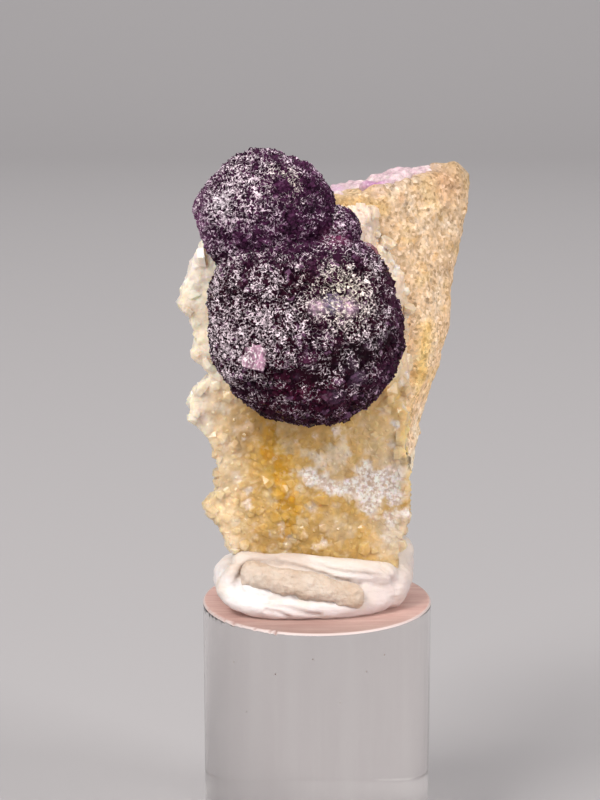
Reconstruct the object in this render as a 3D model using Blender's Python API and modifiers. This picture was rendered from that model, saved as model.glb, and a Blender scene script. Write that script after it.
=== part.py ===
"""Botryoidal purple fluorite on a crust of drusy quartz, with its matrix, stuck with putty on a clear acrylic stand.

Metres, +Z up. The origin is the middle of the stand's underside, and the fluorite faces -Y. Places on the specimen
are written in millimetres from the middle of the stand's top, which the objects' own location lifts into place.
"""

import math
import random

import bmesh
import bpy
import numpy as np
from mathutils import Matrix, Vector, noise

MM = 0.001
GAP = 0.3 * MM
# Points move this far when a spiky skin is grown, because its faces then move less
SPIKY_GAP = 1.6 * GAP

# Driving dimensions of the stand
STAND_RADIUS = 15.0 * MM
STAND_HEIGHT = 35.0 * MM
STAND_EDGE = 0.35 * MM
STAND_SIDES = 72

# The matrix is a block cut by fracture planes: a point on each plane in mm, and the way that its face looks
MATRIX_PLANES = {
    "seat of the druse": ((0.0, 0.15, 0.0), (0.0, -1.0, 0.0)),
    "underside": ((0.0, 0.0, 2.6), (0.0, 0.0, -1.0)),
    "back": ((0.0, 4.8, 3.0), (0.04, 0.987, -0.160)),
    "lower back chip": ((-6.0, 5.5, 12.0), (-0.55, 0.83, -0.10)),
    "lower right": ((10.3, 0.0, 15.0), (1.0, -0.35, -0.24)),
    "upper right": ((13.6, 0.0, 34.6), (0.72, -0.77, 0.215)),
    "right chip": ((18.9, 10.8, 45.2), (0.98, 0.10, -0.17)),
    "top": ((1.0, 4.0, 52.9), (-0.215, 0.04, 0.980)),
    "tip": ((20.6, 11.5, 56.0), (0.75, 0.10, 0.66)),
    "top left corner": ((-6.0, 4.0, 50.5), (-0.62, 0.10, 0.78)),
    "left": ((-10.6, 3.0, 30.0), (-0.97, 0.22, 0.04)),
}
MATRIX_BLOCK = 80.0 * MM
MATRIX_GRID = 1.75 * MM
MATRIX_FACES_KEPT = 0.46

# Outline of the druse crust, seen from the front, as (x, z) in mm: up the blocky left edge, then down the right
DRUSE_OUTLINE = (
    (-9.6, 3.0), (-10.4, 7.6), (-11.9, 8.3), (-12.5, 10.6), (-13.0, 12.4), (-14.9, 13.2), (-15.1, 14.1),
    (-13.3, 15.2), (-12.7, 17.6), (-13.4, 21.0), (-14.4, 23.4), (-16.5, 24.3), (-16.9, 25.9), (-16.8, 27.3),
    (-15.2, 29.1), (-12.6, 30.2), (-14.0, 31.9), (-15.7, 33.1), (-16.1, 34.6), (-14.8, 36.6), (-16.3, 37.8),
    (-17.7, 39.4), (-17.8, 41.2), (-16.6, 43.4), (-15.9, 45.6), (-14.2, 48.6), (-12.4, 50.4), (-8.5, 51.5),
    (-2.0, 51.8), (3.8, 51.6), (7.8, 50.6), (8.3, 47.2), (10.2, 45.6), (11.5, 43.6), (11.9, 38.0), (12.1, 34.6),
    (12.6, 30.4), (11.9, 26.6), (11.2, 23.4), (11.5, 20.3), (11.8, 16.5), (12.0, 12.0), (11.4, 8.7), (10.2, 3.0),
)
DRUSE_BACK = -0.15 * MM
DRUSE_FRONT = -4.0 * MM
DRUSE_GRID = 1.5 * MM
DRUSE_FACES_KEPT = 0.34
DRUSE_CRYSTALS = 82
CRYSTAL_RADIUS = (1.0 * MM, 2.0 * MM)
CRYSTAL_SPACING = 0.62
CRYSTAL_POINT = 0.65
CRYSTAL_REACH = 0.1 * MM
CRYSTALS_ABOVE = 8.2 * MM

# The fluorite's lobes: middle in mm and radius in mm
FLUORITE_LOBES = {
    "big ball": ((-1.7, -8.3, 37.7), 12.0),
    "big ball's right shoulder": ((1.1, -8.6, 41.3), 8.9),
    "big ball's left shoulder": ((-4.1, -8.9, 41.0), 9.6),
    "upper ball": ((-6.5, -6.2, 50.95), 8.0),
    "small ball": ((2.35, -6.5, 49.6), 3.1),
    "bud behind the shoulder": ((6.2, -4.9, 46.5), 1.8),
    "bud on the left": ((-13.9, -5.2, 53.9), 0.9),
    "bud at the back": ((-7.6, -0.9, 54.6), 3.2),
}
FINE_LOBE_OVER = 6.0
CUBE_SIZE = (0.8 * MM, 1.25 * MM)
CUBE_SPACING = 1.9 * MM
CUBE_PROUD = 0.55
FLUORITE_FACES_KEPT = 0.42

# The lilac crust is a field of low knobs: middle in mm and radius in mm, along the top edge and down the back
LILAC_KNOBS = (
    ((2.6, 6.6, 52.1), 1.9), ((5.2, 7.8, 52.6), 1.7), ((7.9, 8.9, 53.1), 1.9), ((10.6, 9.8, 53.7), 1.9),
    ((13.2, 11.0, 54.4), 1.8), ((15.4, 12.1, 54.8), 1.6), ((0.2, 9.0, 50.6), 2.0), ((3.8, 10.7, 50.9), 2.3),
    ((7.2, 11.7, 50.9), 2.1), ((10.3, 12.4, 51.5), 2.4), ((13.6, 12.8, 51.9), 2.2), ((16.4, 12.7, 52.2), 1.7),
    ((1.6, 10.7, 47.6), 2.3), ((5.3, 11.6, 47.6), 2.2), ((8.9, 12.0, 48.1), 2.5), ((12.6, 12.2, 48.5), 2.2),
    ((4.0, 10.9, 44.3), 2.0), ((7.4, 11.3, 44.5), 2.3), ((10.9, 11.4, 45.1), 2.0), ((6.2, 10.7, 41.5), 1.8),
)
LILAC_GRID = 0.8 * MM
LILAC_FACES_KEPT = 0.26

# Putty: the ends of each rolled strand and half its thickness, in mm
PUTTY_STRANDS = {
    "lower front": ((-10.4, -4.0, 2.3), (0.0, -6.6, 1.9), (9.4, -4.2, 2.2), 2.3),
    "lower back": ((-10.0, 3.2, 2.2), (0.0, 5.8, 2.0), (9.8, 3.6, 2.3), 2.4),
    "left end": ((-11.2, -3.6, 3.2), (-11.5, 0.0, 3.4), (-10.8, 3.4, 3.0), 2.2),
    "right end": ((10.0, -3.4, 3.2), (10.5, 0.6, 4.2), (9.9, 4.2, 3.6), 2.3),
    "front collar": ((-9.6, -4.2, 5.9), (-1.5, -5.9, 5.9), (8.6, -4.8, 4.6), 1.8),
    "back collar": ((-9.0, 5.0, 5.2), (0.0, 6.8, 4.8), (9.4, 5.2, 5.8), 1.8),
    "right ear": ((10.0, -1.8, 5.6), (11.1, 1.2, 6.5), (10.4, 4.4, 6.0), 1.7),
    "folded roll": ((-8.2, -8.2, 5.2), (-2.4, -9.1, 4.5), (3.9, -8.8, 3.1), 1.9),
}
PUTTY_CORE = ((0.0, 0.0, 2.6), (10.8, 6.4, 3.2))
PUTTY_GRID = 0.9 * MM
PUTTY_FACES_KEPT = 0.2
PUTTY_SMOOTHING = 2
STRAND_BEADS = 22

# Colour, roughness and how clear each material is
LOOKS = {
    "clear_acrylic": ((0.93, 0.90, 0.90, 1.0), 0.05, 1.0),
    "white_putty": ((0.86, 0.83, 0.82, 1.0), 0.55, 0.0),
    "tan_matrix": ((0.72, 0.55, 0.36, 1.0), 0.85, 0.0),
    "honey_quartz": ((0.80, 0.68, 0.46, 1.0), 0.22, 0.15),
    "purple_fluorite": ((0.075, 0.030, 0.085, 1.0), 0.25, 0.0),
    "lilac_fluorite": ((0.62, 0.44, 0.62, 1.0), 0.35, 0.0),
}


def clear_scene():
    for obj in list(bpy.data.objects):
        bpy.data.objects.remove(obj, do_unlink=True)


def make_collection(name):
    collection = bpy.data.collections.new(name)
    bpy.context.scene.collection.children.link(collection)
    return collection


def make_material(name):
    colour, roughness, clear = LOOKS[name]
    material = bpy.data.materials.new(name)
    material.use_nodes = True
    shader = material.node_tree.nodes["Principled BSDF"]
    shader.inputs["Base Color"].default_value = colour
    shader.inputs["Roughness"].default_value = roughness
    shader.inputs["Metallic"].default_value = 0.0
    shader.inputs["Transmission Weight"].default_value = clear
    return material


def add_object(name, mesh, collection, material=None):
    obj = bpy.data.objects.new(name, mesh)
    collection.objects.link(obj)
    if material:
        obj.data.materials.clear()
        obj.data.materials.append(material)
    return obj


def mesh_from(bm, name):
    mesh = bpy.data.meshes.new(name)
    bm.normal_update()
    bm.to_mesh(mesh)
    bm.free()
    return mesh


def settle(obj):
    """Replaces the object's mesh with what its modifiers make of it."""
    graph = bpy.context.evaluated_depsgraph_get()
    made = bpy.data.meshes.new_from_object(obj.evaluated_get(graph), depsgraph=graph)
    obj.modifiers.clear()
    obj.data = made
    return obj


def as_cutter(obj):
    obj.hide_render = True
    obj.display_type = "WIRE"
    return obj


def combine(target, other, operation, solver="EXACT"):
    """Joins or cuts the target with another object, at once."""
    modifier = target.modifiers.new(operation.lower(), "BOOLEAN")
    modifier.operation = operation
    modifier.object = other
    modifier.solver = solver
    settle(target)


def thin_out(obj, kept):
    """Keeps the given share of the faces, those that carry the shape."""
    thin = obj.modifiers.new("thin out", "DECIMATE")
    thin.ratio = kept
    settle(obj)


def voxelise(obj, grid, smoothing=0):
    """Turns overlapping or sharp shapes into one even skin."""
    remesh = obj.modifiers.new("one skin", "REMESH")
    remesh.mode = "VOXEL"
    remesh.voxel_size = grid
    if smoothing:
        smooth = obj.modifiers.new("soften", "SMOOTH")
        smooth.factor = 0.5
        smooth.iterations = smoothing
    settle(obj)


def grown_copy(obj, name, amount, collection):
    """A copy whose skin stands out by the given amount, for cutting a neighbour with a gap."""
    copy = add_object(name, obj.data.copy(), collection)
    normals = [vertex.normal.copy() for vertex in copy.data.vertices]
    for vertex, normal in zip(copy.data.vertices, normals):
        vertex.co += normal * amount
    return as_cutter(copy)


def roughness_at(point, scale, octaves=3):
    """Fractal noise from about -1 to 1, with lumps of the given size."""
    return noise.fractal(point / scale, 1.0, 2.1, octaves)


def close_up(bm):
    """Merges the points that a fill or a cut left double, and turns every face outwards."""
    bmesh.ops.remove_doubles(bm, verts=bm.verts, dist=0.002 * MM)
    bmesh.ops.recalc_face_normals(bm, faces=bm.faces)


def build_stand(parts):
    bpy.ops.mesh.primitive_cylinder_add(
        vertices=STAND_SIDES, radius=STAND_RADIUS, depth=STAND_HEIGHT, location=(0, 0, STAND_HEIGHT / 2)
    )
    stand = bpy.context.object
    stand.name = "acrylic_stand"
    for holder in list(stand.users_collection):
        holder.objects.unlink(stand)
    parts.objects.link(stand)
    stand.data.materials.append(make_material("clear_acrylic"))
    bevel = stand.modifiers.new("eased rim", "BEVEL")
    bevel.width = STAND_EDGE
    bevel.segments = 1
    bevel.limit_method = "ANGLE"
    stand.data.shade_smooth()
    stand.data.set_sharp_from_angle(angle=math.radians(30))
    return stand


def build_matrix(parts):
    """A block cut by the fracture planes, then roughened all over except where the druse sits."""
    bm = bmesh.new()
    bmesh.ops.create_cube(bm, size=MATRIX_BLOCK)
    bmesh.ops.translate(bm, verts=bm.verts, vec=(0, 0, MATRIX_BLOCK / 2))
    for point, facing in MATRIX_PLANES.values():
        cut = bmesh.ops.bisect_plane(
            bm, geom=bm.verts[:] + bm.edges[:] + bm.faces[:], plane_co=Vector(point) * MM,
            plane_no=Vector(facing).normalized(), clear_outer=True,
        )
        edges = [item for item in cut["geom_cut"] if isinstance(item, bmesh.types.BMEdge)]
        bmesh.ops.contextual_create(bm, geom=edges)
    close_up(bm)
    matrix = add_object("matrix_rock", mesh_from(bm, "matrix_rock"), parts, make_material("tan_matrix"))
    voxelise(matrix, MATRIX_GRID)
    seat = MATRIX_PLANES["seat of the druse"][0][1] * MM
    floor = MATRIX_PLANES["underside"][0][2] * MM
    for vertex in matrix.data.vertices:
        at = vertex.co.copy()
        lumps = 0.35 * MM * roughness_at(at, 6.5 * MM) + 0.3 * MM * roughness_at(at, 2.2 * MM, 2)
        vertex.co = at + vertex.normal * lumps
        vertex.co.y = max(vertex.co.y, seat)
        vertex.co.z = max(vertex.co.z, floor)
    thin_out(matrix, MATRIX_FACES_KEPT)
    return matrix


def build_slab(collection):
    """The druse crust without its crystals: the outline at its thickness, softened and made lumpy."""
    curve = bpy.data.curves.new("druse_outline", "CURVE")
    curve.dimensions = "2D"
    curve.fill_mode = "BOTH"
    curve.extrude = (DRUSE_BACK - DRUSE_FRONT) / 2
    spline = curve.splines.new("POLY")
    spline.points.add(len(DRUSE_OUTLINE) - 1)
    for place, (x, z) in zip(spline.points, DRUSE_OUTLINE):
        place.co = (x * MM - math.copysign(CRYSTAL_REACH, x), z * MM, 0.0, 1.0)
    spline.use_cyclic_u = True
    flat = bpy.data.objects.new("druse_outline", curve)
    flat.rotation_euler.x = math.radians(90)
    flat.location.y = (DRUSE_BACK + DRUSE_FRONT) / 2
    collection.objects.link(flat)
    bpy.context.view_layer.update()
    graph = bpy.context.evaluated_depsgraph_get()
    mesh = bpy.data.meshes.new_from_object(flat.evaluated_get(graph), depsgraph=graph)
    mesh.transform(flat.matrix_world)
    bpy.data.objects.remove(flat)
    bm = bmesh.new()
    bm.from_mesh(mesh)
    close_up(bm)
    slab = add_object("quartz_druse", mesh_from(bm, "quartz_druse"), collection, make_material("honey_quartz"))
    voxelise(slab, DRUSE_GRID, smoothing=1)
    for vertex in slab.data.vertices:
        at = vertex.co.copy()
        if at.y < DRUSE_BACK - 0.4 * MM:
            vertex.co = at + vertex.normal * 0.5 * MM * roughness_at(at, 4.0 * MM)
        vertex.co.y = min(vertex.co.y, DRUSE_BACK)
    thin_out(slab, DRUSE_FACES_KEPT)
    return slab


def crystal(bm, base, direction, radius, length, turn):
    """A six-sided quartz prism with a six-sided point, standing on base and pointing along direction."""
    frame = Matrix.Translation(base) @ direction.to_track_quat("Z", "Y").to_matrix().to_4x4()
    prism = bmesh.ops.create_cone(
        bm, cap_ends=True, segments=6, radius1=radius, radius2=radius * 0.93, depth=length,
        matrix=frame @ Matrix.Rotation(turn, 4, "Z"),
    )
    top = max(
        {face for vertex in prism["verts"] for face in vertex.link_faces if len(face.verts) == 6},
        key=lambda face: face.calc_center_median().dot(direction),
    )
    bmesh.ops.poke(bm, faces=[top], offset=radius * CRYSTAL_POINT, use_relative_offset=False)


def plant_crystals(slab, collection):
    """Crystals over the druse's front and edges, clear of the fluorite, in groups where none touches another."""
    rng = random.Random(11)
    faces = [
        face for face in slab.data.polygons
        if face.center.z > CRYSTALS_ABOVE and face.center.y < DRUSE_BACK - 1.2 * MM
    ]
    areas = [face.area for face in faces]
    groups = []
    placed = []
    while len(placed) < DRUSE_CRYSTALS:
        face = rng.choices(faces, weights=areas)[0]
        radius = rng.uniform(*CRYSTAL_RADIUS)
        at = face.center.copy()
        if inside_fluorite(at, 1.2 * radius) or at.z - 1.2 * radius < CRYSTALS_ABOVE:
            continue
        if any((at - other).length < CRYSTAL_SPACING * (radius + size) for other, size in placed):
            continue
        placed.append((at, radius))
        lean = Vector((rng.gauss(0, 0.35), rng.gauss(0, 0.25), rng.gauss(0, 0.35)))
        direction = (face.normal + lean).normalized()
        length = radius * rng.uniform(1.2, 1.5)
        for group in groups:
            if all((at - other).length > 2.6 * (radius + size) for other, size in group["places"]):
                break
        else:
            group = {"bm": bmesh.new(), "places": []}
            groups.append(group)
        crystal(group["bm"], at - direction * 0.35 * length, direction, radius, length, rng.uniform(0, math.pi / 3))
        group["places"].append((at, radius))
    return [
        as_cutter(add_object(f"druse_crystals_{index}", mesh_from(group["bm"], "crystals"), collection))
        for index, group in enumerate(groups)
    ]


def inside_fluorite(point, margin):
    return any(
        (point - Vector(middle) * MM).length < radius * MM + margin for middle, radius in FLUORITE_LOBES.values()
    )


def spread_directions(count):
    """Evenly spread directions, on a spiral round the sphere."""
    golden = math.pi * (3 - math.sqrt(5))
    steps = np.arange(count) + 0.5
    height = 1 - 2 * steps / count
    ring = np.sqrt(1 - height**2)
    return np.column_stack((ring * np.cos(golden * steps), ring * np.sin(golden * steps), height))


def crystal_skin(directions, radius, seed):
    """How far each direction reaches on a ball covered in the corners of small fluorite cubes."""
    rng = random.Random(seed)
    reach = np.full(len(directions), radius * 0.985)
    for spot in spread_directions(int(4 * math.pi * radius**2 / CUBE_SPACING**2)):
        half = rng.uniform(*CUBE_SIZE)
        middle = Vector(spot) * (radius - half * CUBE_PROUD)
        turn = Matrix.Rotation(rng.uniform(0, 6.28), 3, Vector((rng.gauss(0, 1), rng.gauss(0, 1), rng.gauss(0, 1))))
        axes = np.array(turn)
        along = directions @ axes
        start = np.array(middle) @ axes
        along = np.where(np.abs(along) < 1e-9, 1e-9, along)
        near = ((start - half * np.sign(along)) / along).max(axis=1)
        far = ((start + half * np.sign(along)) / along).min(axis=1)
        reach = np.where((far > near) & (far > 0), np.maximum(reach, far), reach)
    return reach


def build_lobe(name, middle, radius, collection):
    """One ball of fluorite, with a skin of small cubes where it is large enough to show them."""
    bm = bmesh.new()
    bmesh.ops.create_icosphere(bm, subdivisions=4 if radius > FINE_LOBE_OVER else 2, radius=1.0)
    directions = np.array([vertex.co.normalized() for vertex in bm.verts])
    reach = crystal_skin(directions, radius * MM, seed=int(radius * 10))
    for vertex, direction, distance in zip(bm.verts, directions, reach):
        vertex.co = Vector(direction) * float(distance) + Vector(middle) * MM
    return add_object(name, mesh_from(bm, name), collection)


def build_fluorite(parts, tools, cutters):
    """The lobes joined in one solid, and cut back where they sit on the druse and the matrix."""
    fluorite = None
    for name, (middle, radius) in FLUORITE_LOBES.items():
        lobe = build_lobe(name, middle, radius, tools)
        if fluorite is None:
            fluorite = lobe
            continue
        combine(fluorite, lobe, "UNION")
        as_cutter(lobe)
    thin_out(fluorite, FLUORITE_FACES_KEPT)
    for cutter in cutters:
        combine(fluorite, cutter, "DIFFERENCE")
    tools.objects.unlink(fluorite)
    parts.objects.link(fluorite)
    fluorite.name = "purple_fluorite"
    fluorite.data.materials.clear()
    fluorite.data.materials.append(make_material("purple_fluorite"))
    return fluorite


def build_lilac(parts, tools, cutters):
    """Low knobs grown together along the matrix's top edge and over its back."""
    bm = bmesh.new()
    for middle, radius in LILAC_KNOBS:
        bmesh.ops.create_icosphere(
            bm, subdivisions=2, radius=radius * MM, matrix=Matrix.Translation(Vector(middle) * MM)
        )
    lilac = add_object("lilac_fluorite_crust", mesh_from(bm, "lilac"), parts, make_material("lilac_fluorite"))
    voxelise(lilac, LILAC_GRID, smoothing=1)
    thin_out(lilac, LILAC_FACES_KEPT)
    for cutter in cutters:
        combine(lilac, cutter, "DIFFERENCE")
    return lilac


def strand_beads(first, bend, last, radius):
    """Points along a putty strand that bends through its middle point, each with the strand's radius."""
    first, bend, last = (Vector(point) * MM for point in (first, bend, last))
    for step in range(STRAND_BEADS):
        t = step / (STRAND_BEADS - 1)
        pull = 2 * bend - (first + last) / 2
        yield (1 - t) ** 2 * first + 2 * t * (1 - t) * pull + t**2 * last, radius * MM


def build_putty(parts, tools, cutters):
    """Rolled strands of putty pressed into one lump, flat underneath and hollowed by the specimen's foot."""
    bm = bmesh.new()
    for first, bend, last, radius in PUTTY_STRANDS.values():
        for at, size in strand_beads(first, bend, last, radius):
            bmesh.ops.create_icosphere(bm, subdivisions=2, radius=size, matrix=Matrix.Translation(at))
    middle, radii = PUTTY_CORE
    core = Matrix.Translation(Vector(middle) * MM) @ Matrix.Diagonal(Vector(radii) * MM).to_4x4()
    bmesh.ops.create_icosphere(bm, subdivisions=3, radius=1.0, matrix=core)
    putty = add_object("mounting_putty", mesh_from(bm, "putty"), parts, make_material("white_putty"))
    voxelise(putty, PUTTY_GRID, PUTTY_SMOOTHING)
    thin_out(putty, PUTTY_FACES_KEPT)
    bm = bmesh.new()
    size = 4 * STAND_RADIUS
    bmesh.ops.create_cube(bm, size=size, matrix=Matrix.Translation((0, 0, GAP - size / 2)))
    below = as_cutter(add_object("below_the_putty", mesh_from(bm, "below"), tools))
    for cutter in (below, *cutters):
        combine(putty, cutter, "DIFFERENCE")
    return putty


def keep_main_body(bm):
    """Drops the crumbs that a cut left apart from the largest body."""
    unseen = set(bm.verts)
    bodies = []
    while unseen:
        body = set()
        reached = [next(iter(unseen))]
        while reached:
            vertex = reached.pop()
            if vertex in body:
                continue
            body.add(vertex)
            reached.extend(edge.other_vert(vertex) for edge in vertex.link_edges)
        unseen -= body
        bodies.append(body)
    bodies.sort(key=len)
    for body in bodies[:-1]:
        bmesh.ops.delete(bm, geom=list(body), context="VERTS")


def tidy(obj):
    """Drops the crumbs of the cuts and lifts the piece onto the stand."""
    bm = bmesh.new()
    bm.from_mesh(obj.data)
    keep_main_body(bm)
    bm.to_mesh(obj.data)
    bm.free()
    obj.location.z = STAND_HEIGHT


def main():
    clear_scene()
    parts = make_collection("botryoidal_fluorite")
    tools = make_collection("cutters")
    build_stand(parts)
    matrix = build_matrix(parts)
    slab = build_slab(parts)
    matrix_cutter = grown_copy(matrix, "grown_matrix", GAP, tools)
    slab_cutter = grown_copy(slab, "grown_slab", SPIKY_GAP, tools)
    fluorite = build_fluorite(parts, tools, (slab_cutter, matrix_cutter))
    fluorite_cutter = grown_copy(fluorite, "grown_fluorite", SPIKY_GAP, tools)
    for crystals in plant_crystals(slab, tools):
        combine(crystals, fluorite_cutter, "DIFFERENCE")
        # The exact solver loses the slab among these small prisms
        combine(slab, crystals, "UNION", solver="MANIFOLD")
    combine(slab, matrix_cutter, "DIFFERENCE")
    druse_cutter = grown_copy(slab, "grown_druse", GAP, tools)
    lilac = build_lilac(parts, tools, (matrix_cutter, druse_cutter, fluorite_cutter))
    putty = build_putty(parts, tools, (matrix_cutter, slab_cutter))
    for obj in (matrix, slab, fluorite, lilac, putty):
        tidy(obj)


main()
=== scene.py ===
"""Looks of the botryoidal purple fluorite on drusy quartz, stuck with putty on a clear acrylic stand."""

import math

import bmesh
import bpy
import numpy as np
from mathutils import Matrix, Vector, kdtree, noise

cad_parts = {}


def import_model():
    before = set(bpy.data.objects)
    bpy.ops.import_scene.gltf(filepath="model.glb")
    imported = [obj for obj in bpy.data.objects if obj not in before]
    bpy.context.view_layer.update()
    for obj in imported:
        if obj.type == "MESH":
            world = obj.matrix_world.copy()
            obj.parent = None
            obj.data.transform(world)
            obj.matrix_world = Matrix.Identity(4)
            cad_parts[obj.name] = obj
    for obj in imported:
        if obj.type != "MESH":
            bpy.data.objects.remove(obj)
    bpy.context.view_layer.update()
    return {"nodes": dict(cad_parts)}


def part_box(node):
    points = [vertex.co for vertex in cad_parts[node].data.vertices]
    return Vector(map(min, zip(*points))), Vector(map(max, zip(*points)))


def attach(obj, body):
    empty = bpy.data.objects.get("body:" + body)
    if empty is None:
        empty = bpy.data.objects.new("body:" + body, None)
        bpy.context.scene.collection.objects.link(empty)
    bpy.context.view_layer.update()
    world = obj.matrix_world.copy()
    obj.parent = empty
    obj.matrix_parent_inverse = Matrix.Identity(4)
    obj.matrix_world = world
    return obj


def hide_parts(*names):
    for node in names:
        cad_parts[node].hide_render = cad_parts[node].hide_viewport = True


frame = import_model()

# Lengths below are in mm, and heights start at the top of the stand
MM = 0.001
LIFT = np.array([0.0, 0.0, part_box("acrylic_stand")[1].z])
STAND_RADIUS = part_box("acrylic_stand")[1].x / MM
STAND_BOTTOM = -LIFT[2] / MM

# Camera as in the photograph: tilt, distance to the middle of the stand's top, framing and lens
CAMERA_TILT = math.radians(12.2)
CAMERA_DISTANCE = 290.0
CAMERA_RIGHT = 2.24
CAMERA_RISE = 26.1
CAMERA_LENS = 99.0

# The fluorite's balls: middle, radius, and how far apart their crystals sit
BALLS = {
    "big": ((-1.7, -8.3, 37.7), 11.85, 0.47),
    "low shoulder": ((-0.9, -8.3, 37.0), 11.4, 0.47),
    "right shoulder": ((0.65, -8.6, 40.9), 8.75, 0.47),
    "left shoulder": ((-4.1, -8.9, 41.0), 9.45, 0.47),
    "upper": ((-6.35, -6.2, 51.25), 8.45, 0.42),
    "small": ((2.1, -6.5, 49.6), 3.1, 0.34),
    "wedge": ((5.8, -4.9, 46.2), 1.65, 0.36),
    "left bud": ((-12.75, -5.9, 52.1), 2.7, 0.42),
    "back bud": ((-7.6, -0.9, 54.9), 3.2, 0.42),
}
UPPER_BALLS = ("upper", "small", "left bud", "back bud")
FLUORITE_SEED = 4
# Its cubes: how crowded, their jitter and mean half size in spacings, their lean, and how deep they sit
CUBE_CROWDING = 1.2
CUBE_JITTER = 0.3
CUBE_SIZE = 0.56
CUBE_LEAN = 0.38
CUBE_SINK = 0.9
# Line of the ledge across the big ball's front, under which the surface steps back
LEDGE = ((-13.0, -9.6, -6.2, -2.2, 4.2, 7.4, 11.0), (30.4, 31.9, 34.3, 35.1, 37.6, 38.6, 39.4))

# Where the fluorite's pale frost and painted glints lie thicker or thinner, with more along the big ball's
# left rim as painted sheen: middle, radius and how much is added
FROST_AND_GLINT_SPOTS = (
    ((-3.0, -19.0, 32.0), 6.5, -0.08), ((-10.5, -13.0, 31.5), 4.5, 0.16), ((2.5, -19.2, 39.6), 3.2, 0.14),
    ((5.0, -16.4, 44.2), 3.6, 0.30), ((-9.0, -12.0, 54.0), 5.0, 0.12), ((-11.9, -11.5, 53.4), 2.9, 0.55),
    ((-12.9, -9.5, 51.2), 2.8, 0.30), ((-5.6, -14.1, 51.0), 0.8, 0.9), ((-9.1, -17.7, 38.6), 1.0, 0.6),
    ((-0.5, -12.0, 52.0), 7.0, -0.42), ((-5.6, -13.4, 54.0), 5.0, -0.18), ((-8.5, -13.8, 49.8), 3.2, -0.22),
    ((6.3, -6.0, 46.6), 2.6, -0.34), ((-1.2, -15.6, 47.4), 6.5, -0.20), ((-3.0, -18.2, 44.2), 4.0, -0.14),
    ((3.4, -14.9, 47.2), 3.8, -0.36), ((-0.8, -19.2, 42.7), 3.2, -0.16), ((9.4, -11.0, 38.0), 6.0, -0.06),
    ((-12.5, -12.0, 40.0), 4.0, 0.10), ((-8.9, -17.4, 37.6), 5.5, 0.24), ((-11.9, -14.0, 35.8), 4.0, 0.24),
    ((-6.6, -18.6, 40.8), 2.4, 0.22), ((2.6, -19.5, 36.9), 2.6, -0.24), ((0.8, -19.6, 34.8), 2.0, 0.24),
    ((7.2, -16.3, 38.4), 2.6, 0.24), ((3.0, -9.3, 50.7), 2.6, 0.32), ((6.2, -14.8, 33.4), 3.5, 0.08),
    ((-6.3, -8.6, 58.8), 5.6, -0.24), ((0.5, -19.5, 38.5), 5.0, -0.09), ((-8.0, -14.8, 44.6), 5.0, -0.12),
    ((0.2, -9.5, 49.2), 1.8, -0.40), ((1.0, -15.6, 46.8), 1.9, 0.22), ((-4.0, -15.8, 47.0), 2.4, -0.22),
    ((-6.4, -16.6, 45.0), 2.2, -0.15), ((-0.3, -18.6, 43.0), 2.3, -0.18), ((-5.6, -19.0, 38.4), 2.1, -0.14),
    ((-3.0, -20.0, 35.7), 2.8, -0.28), ((3.4, -19.3, 35.2), 2.2, -0.28), ((5.4, -17.9, 33.4), 2.8, -0.20),
    ((0.8, -19.9, 36.0), 1.5, 0.18), ((-8.8, -16.3, 33.2), 2.4, 0.22), ((3.4, -19.2, 38.4), 1.8, 0.18),
    ((-9.4, -9.5, 58.2), 2.6, 0.22),
)

# The cleavage plate on the big ball's front: middle, the way it faces, and half its width and height
CLEAVAGE = ((-8.0, -18.35, 36.0), (-0.66, -0.74, 0.14), 1.6, 1.65)

# Outline of the quartz crust as x and z, from its foot up the left side and down the right
CRUST_OUTLINE = (
    (-9.6, 2.8), (-10.3, 6.9), (-11.7, 7.9), (-12.3, 10.2), (-12.8, 12.0), (-14.5, 12.8), (-14.6, 13.9),
    (-13.4, 14.9), (-12.7, 16.2), (-12.6, 17.6), (-12.9, 19.1), (-13.4, 21.0), (-13.7, 22.3), (-14.8, 23.3),
    (-15.9, 24.4), (-16.4, 25.6), (-16.4, 27.4), (-15.9, 28.7), (-15.3, 29.7), (-13.5, 30.6), (-14.2, 31.5),
    (-15.8, 32.7), (-16.2, 33.8), (-15.5, 34.8), (-15.5, 36.0), (-16.1, 37.0), (-16.1, 38.0), (-17.1, 38.8),
    (-17.3, 40.6), (-17.0, 42.0), (-16.4, 43.4), (-16.2, 45.1), (-15.4, 46.3), (-14.8, 47.6), (-13.6, 49.2),
    (-12.4, 50.4), (-8.5, 51.5), (-2.0, 51.8), (3.8, 51.6), (7.4, 51.4), (7.9, 49.6), (8.0, 47.4),
    (8.9, 46.8), (9.9, 45.0), (10.9, 43.1), (11.4, 41.0), (11.5, 38.8), (11.4, 36.4), (11.5, 33.6),
    (11.8, 31.0), (11.8, 28.4), (11.2, 25.8), (11.1, 23.8), (11.5, 20.3), (11.8, 16.5), (11.9, 12.0),
    (11.4, 10.3), (10.9, 8.9), (10.4, 6.8), (9.6, 2.8),
)
# Line beside that outline along which the crust thins out onto the matrix
CRUST_RIM = (
    (1.0, 52.3), (3.8, 52.3), (7.4, 52.0), (8.0, 49.6), (8.1, 47.4), (9.0, 46.8), (10.0, 45.0), (11.0, 43.1),
    (11.5, 41.0), (11.6, 38.8), (11.5, 36.4), (11.6, 33.6), (11.9, 31.0), (12.0, 28.4),
)
# Clear crystals that stand out of the crust beside the balls, as x and z
CLEAR_POINTS = (
    (7.5, 48.4), (7.9, 46.7), (9.5, 44.8), (10.2, 44.1), (9.9, 43.4), (11.1, 41.1), (11.3, 37.9),
    (11.2, 30.4), (10.7, 29.2), (10.0, 24.3),
)
# Where the crust's front and back lie, before its crystals
CRUST_FRONT = -4.15
CRUST_BACK = 0.9
DRUSE_SEED = 11
# The quartz crystals' points, in half lengths of the prism under them, and a prism's width at its top
QUARTZ_POINTS = (1.2, 1.7, 2.3)
QUARTZ_TAPER = 0.92
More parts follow.
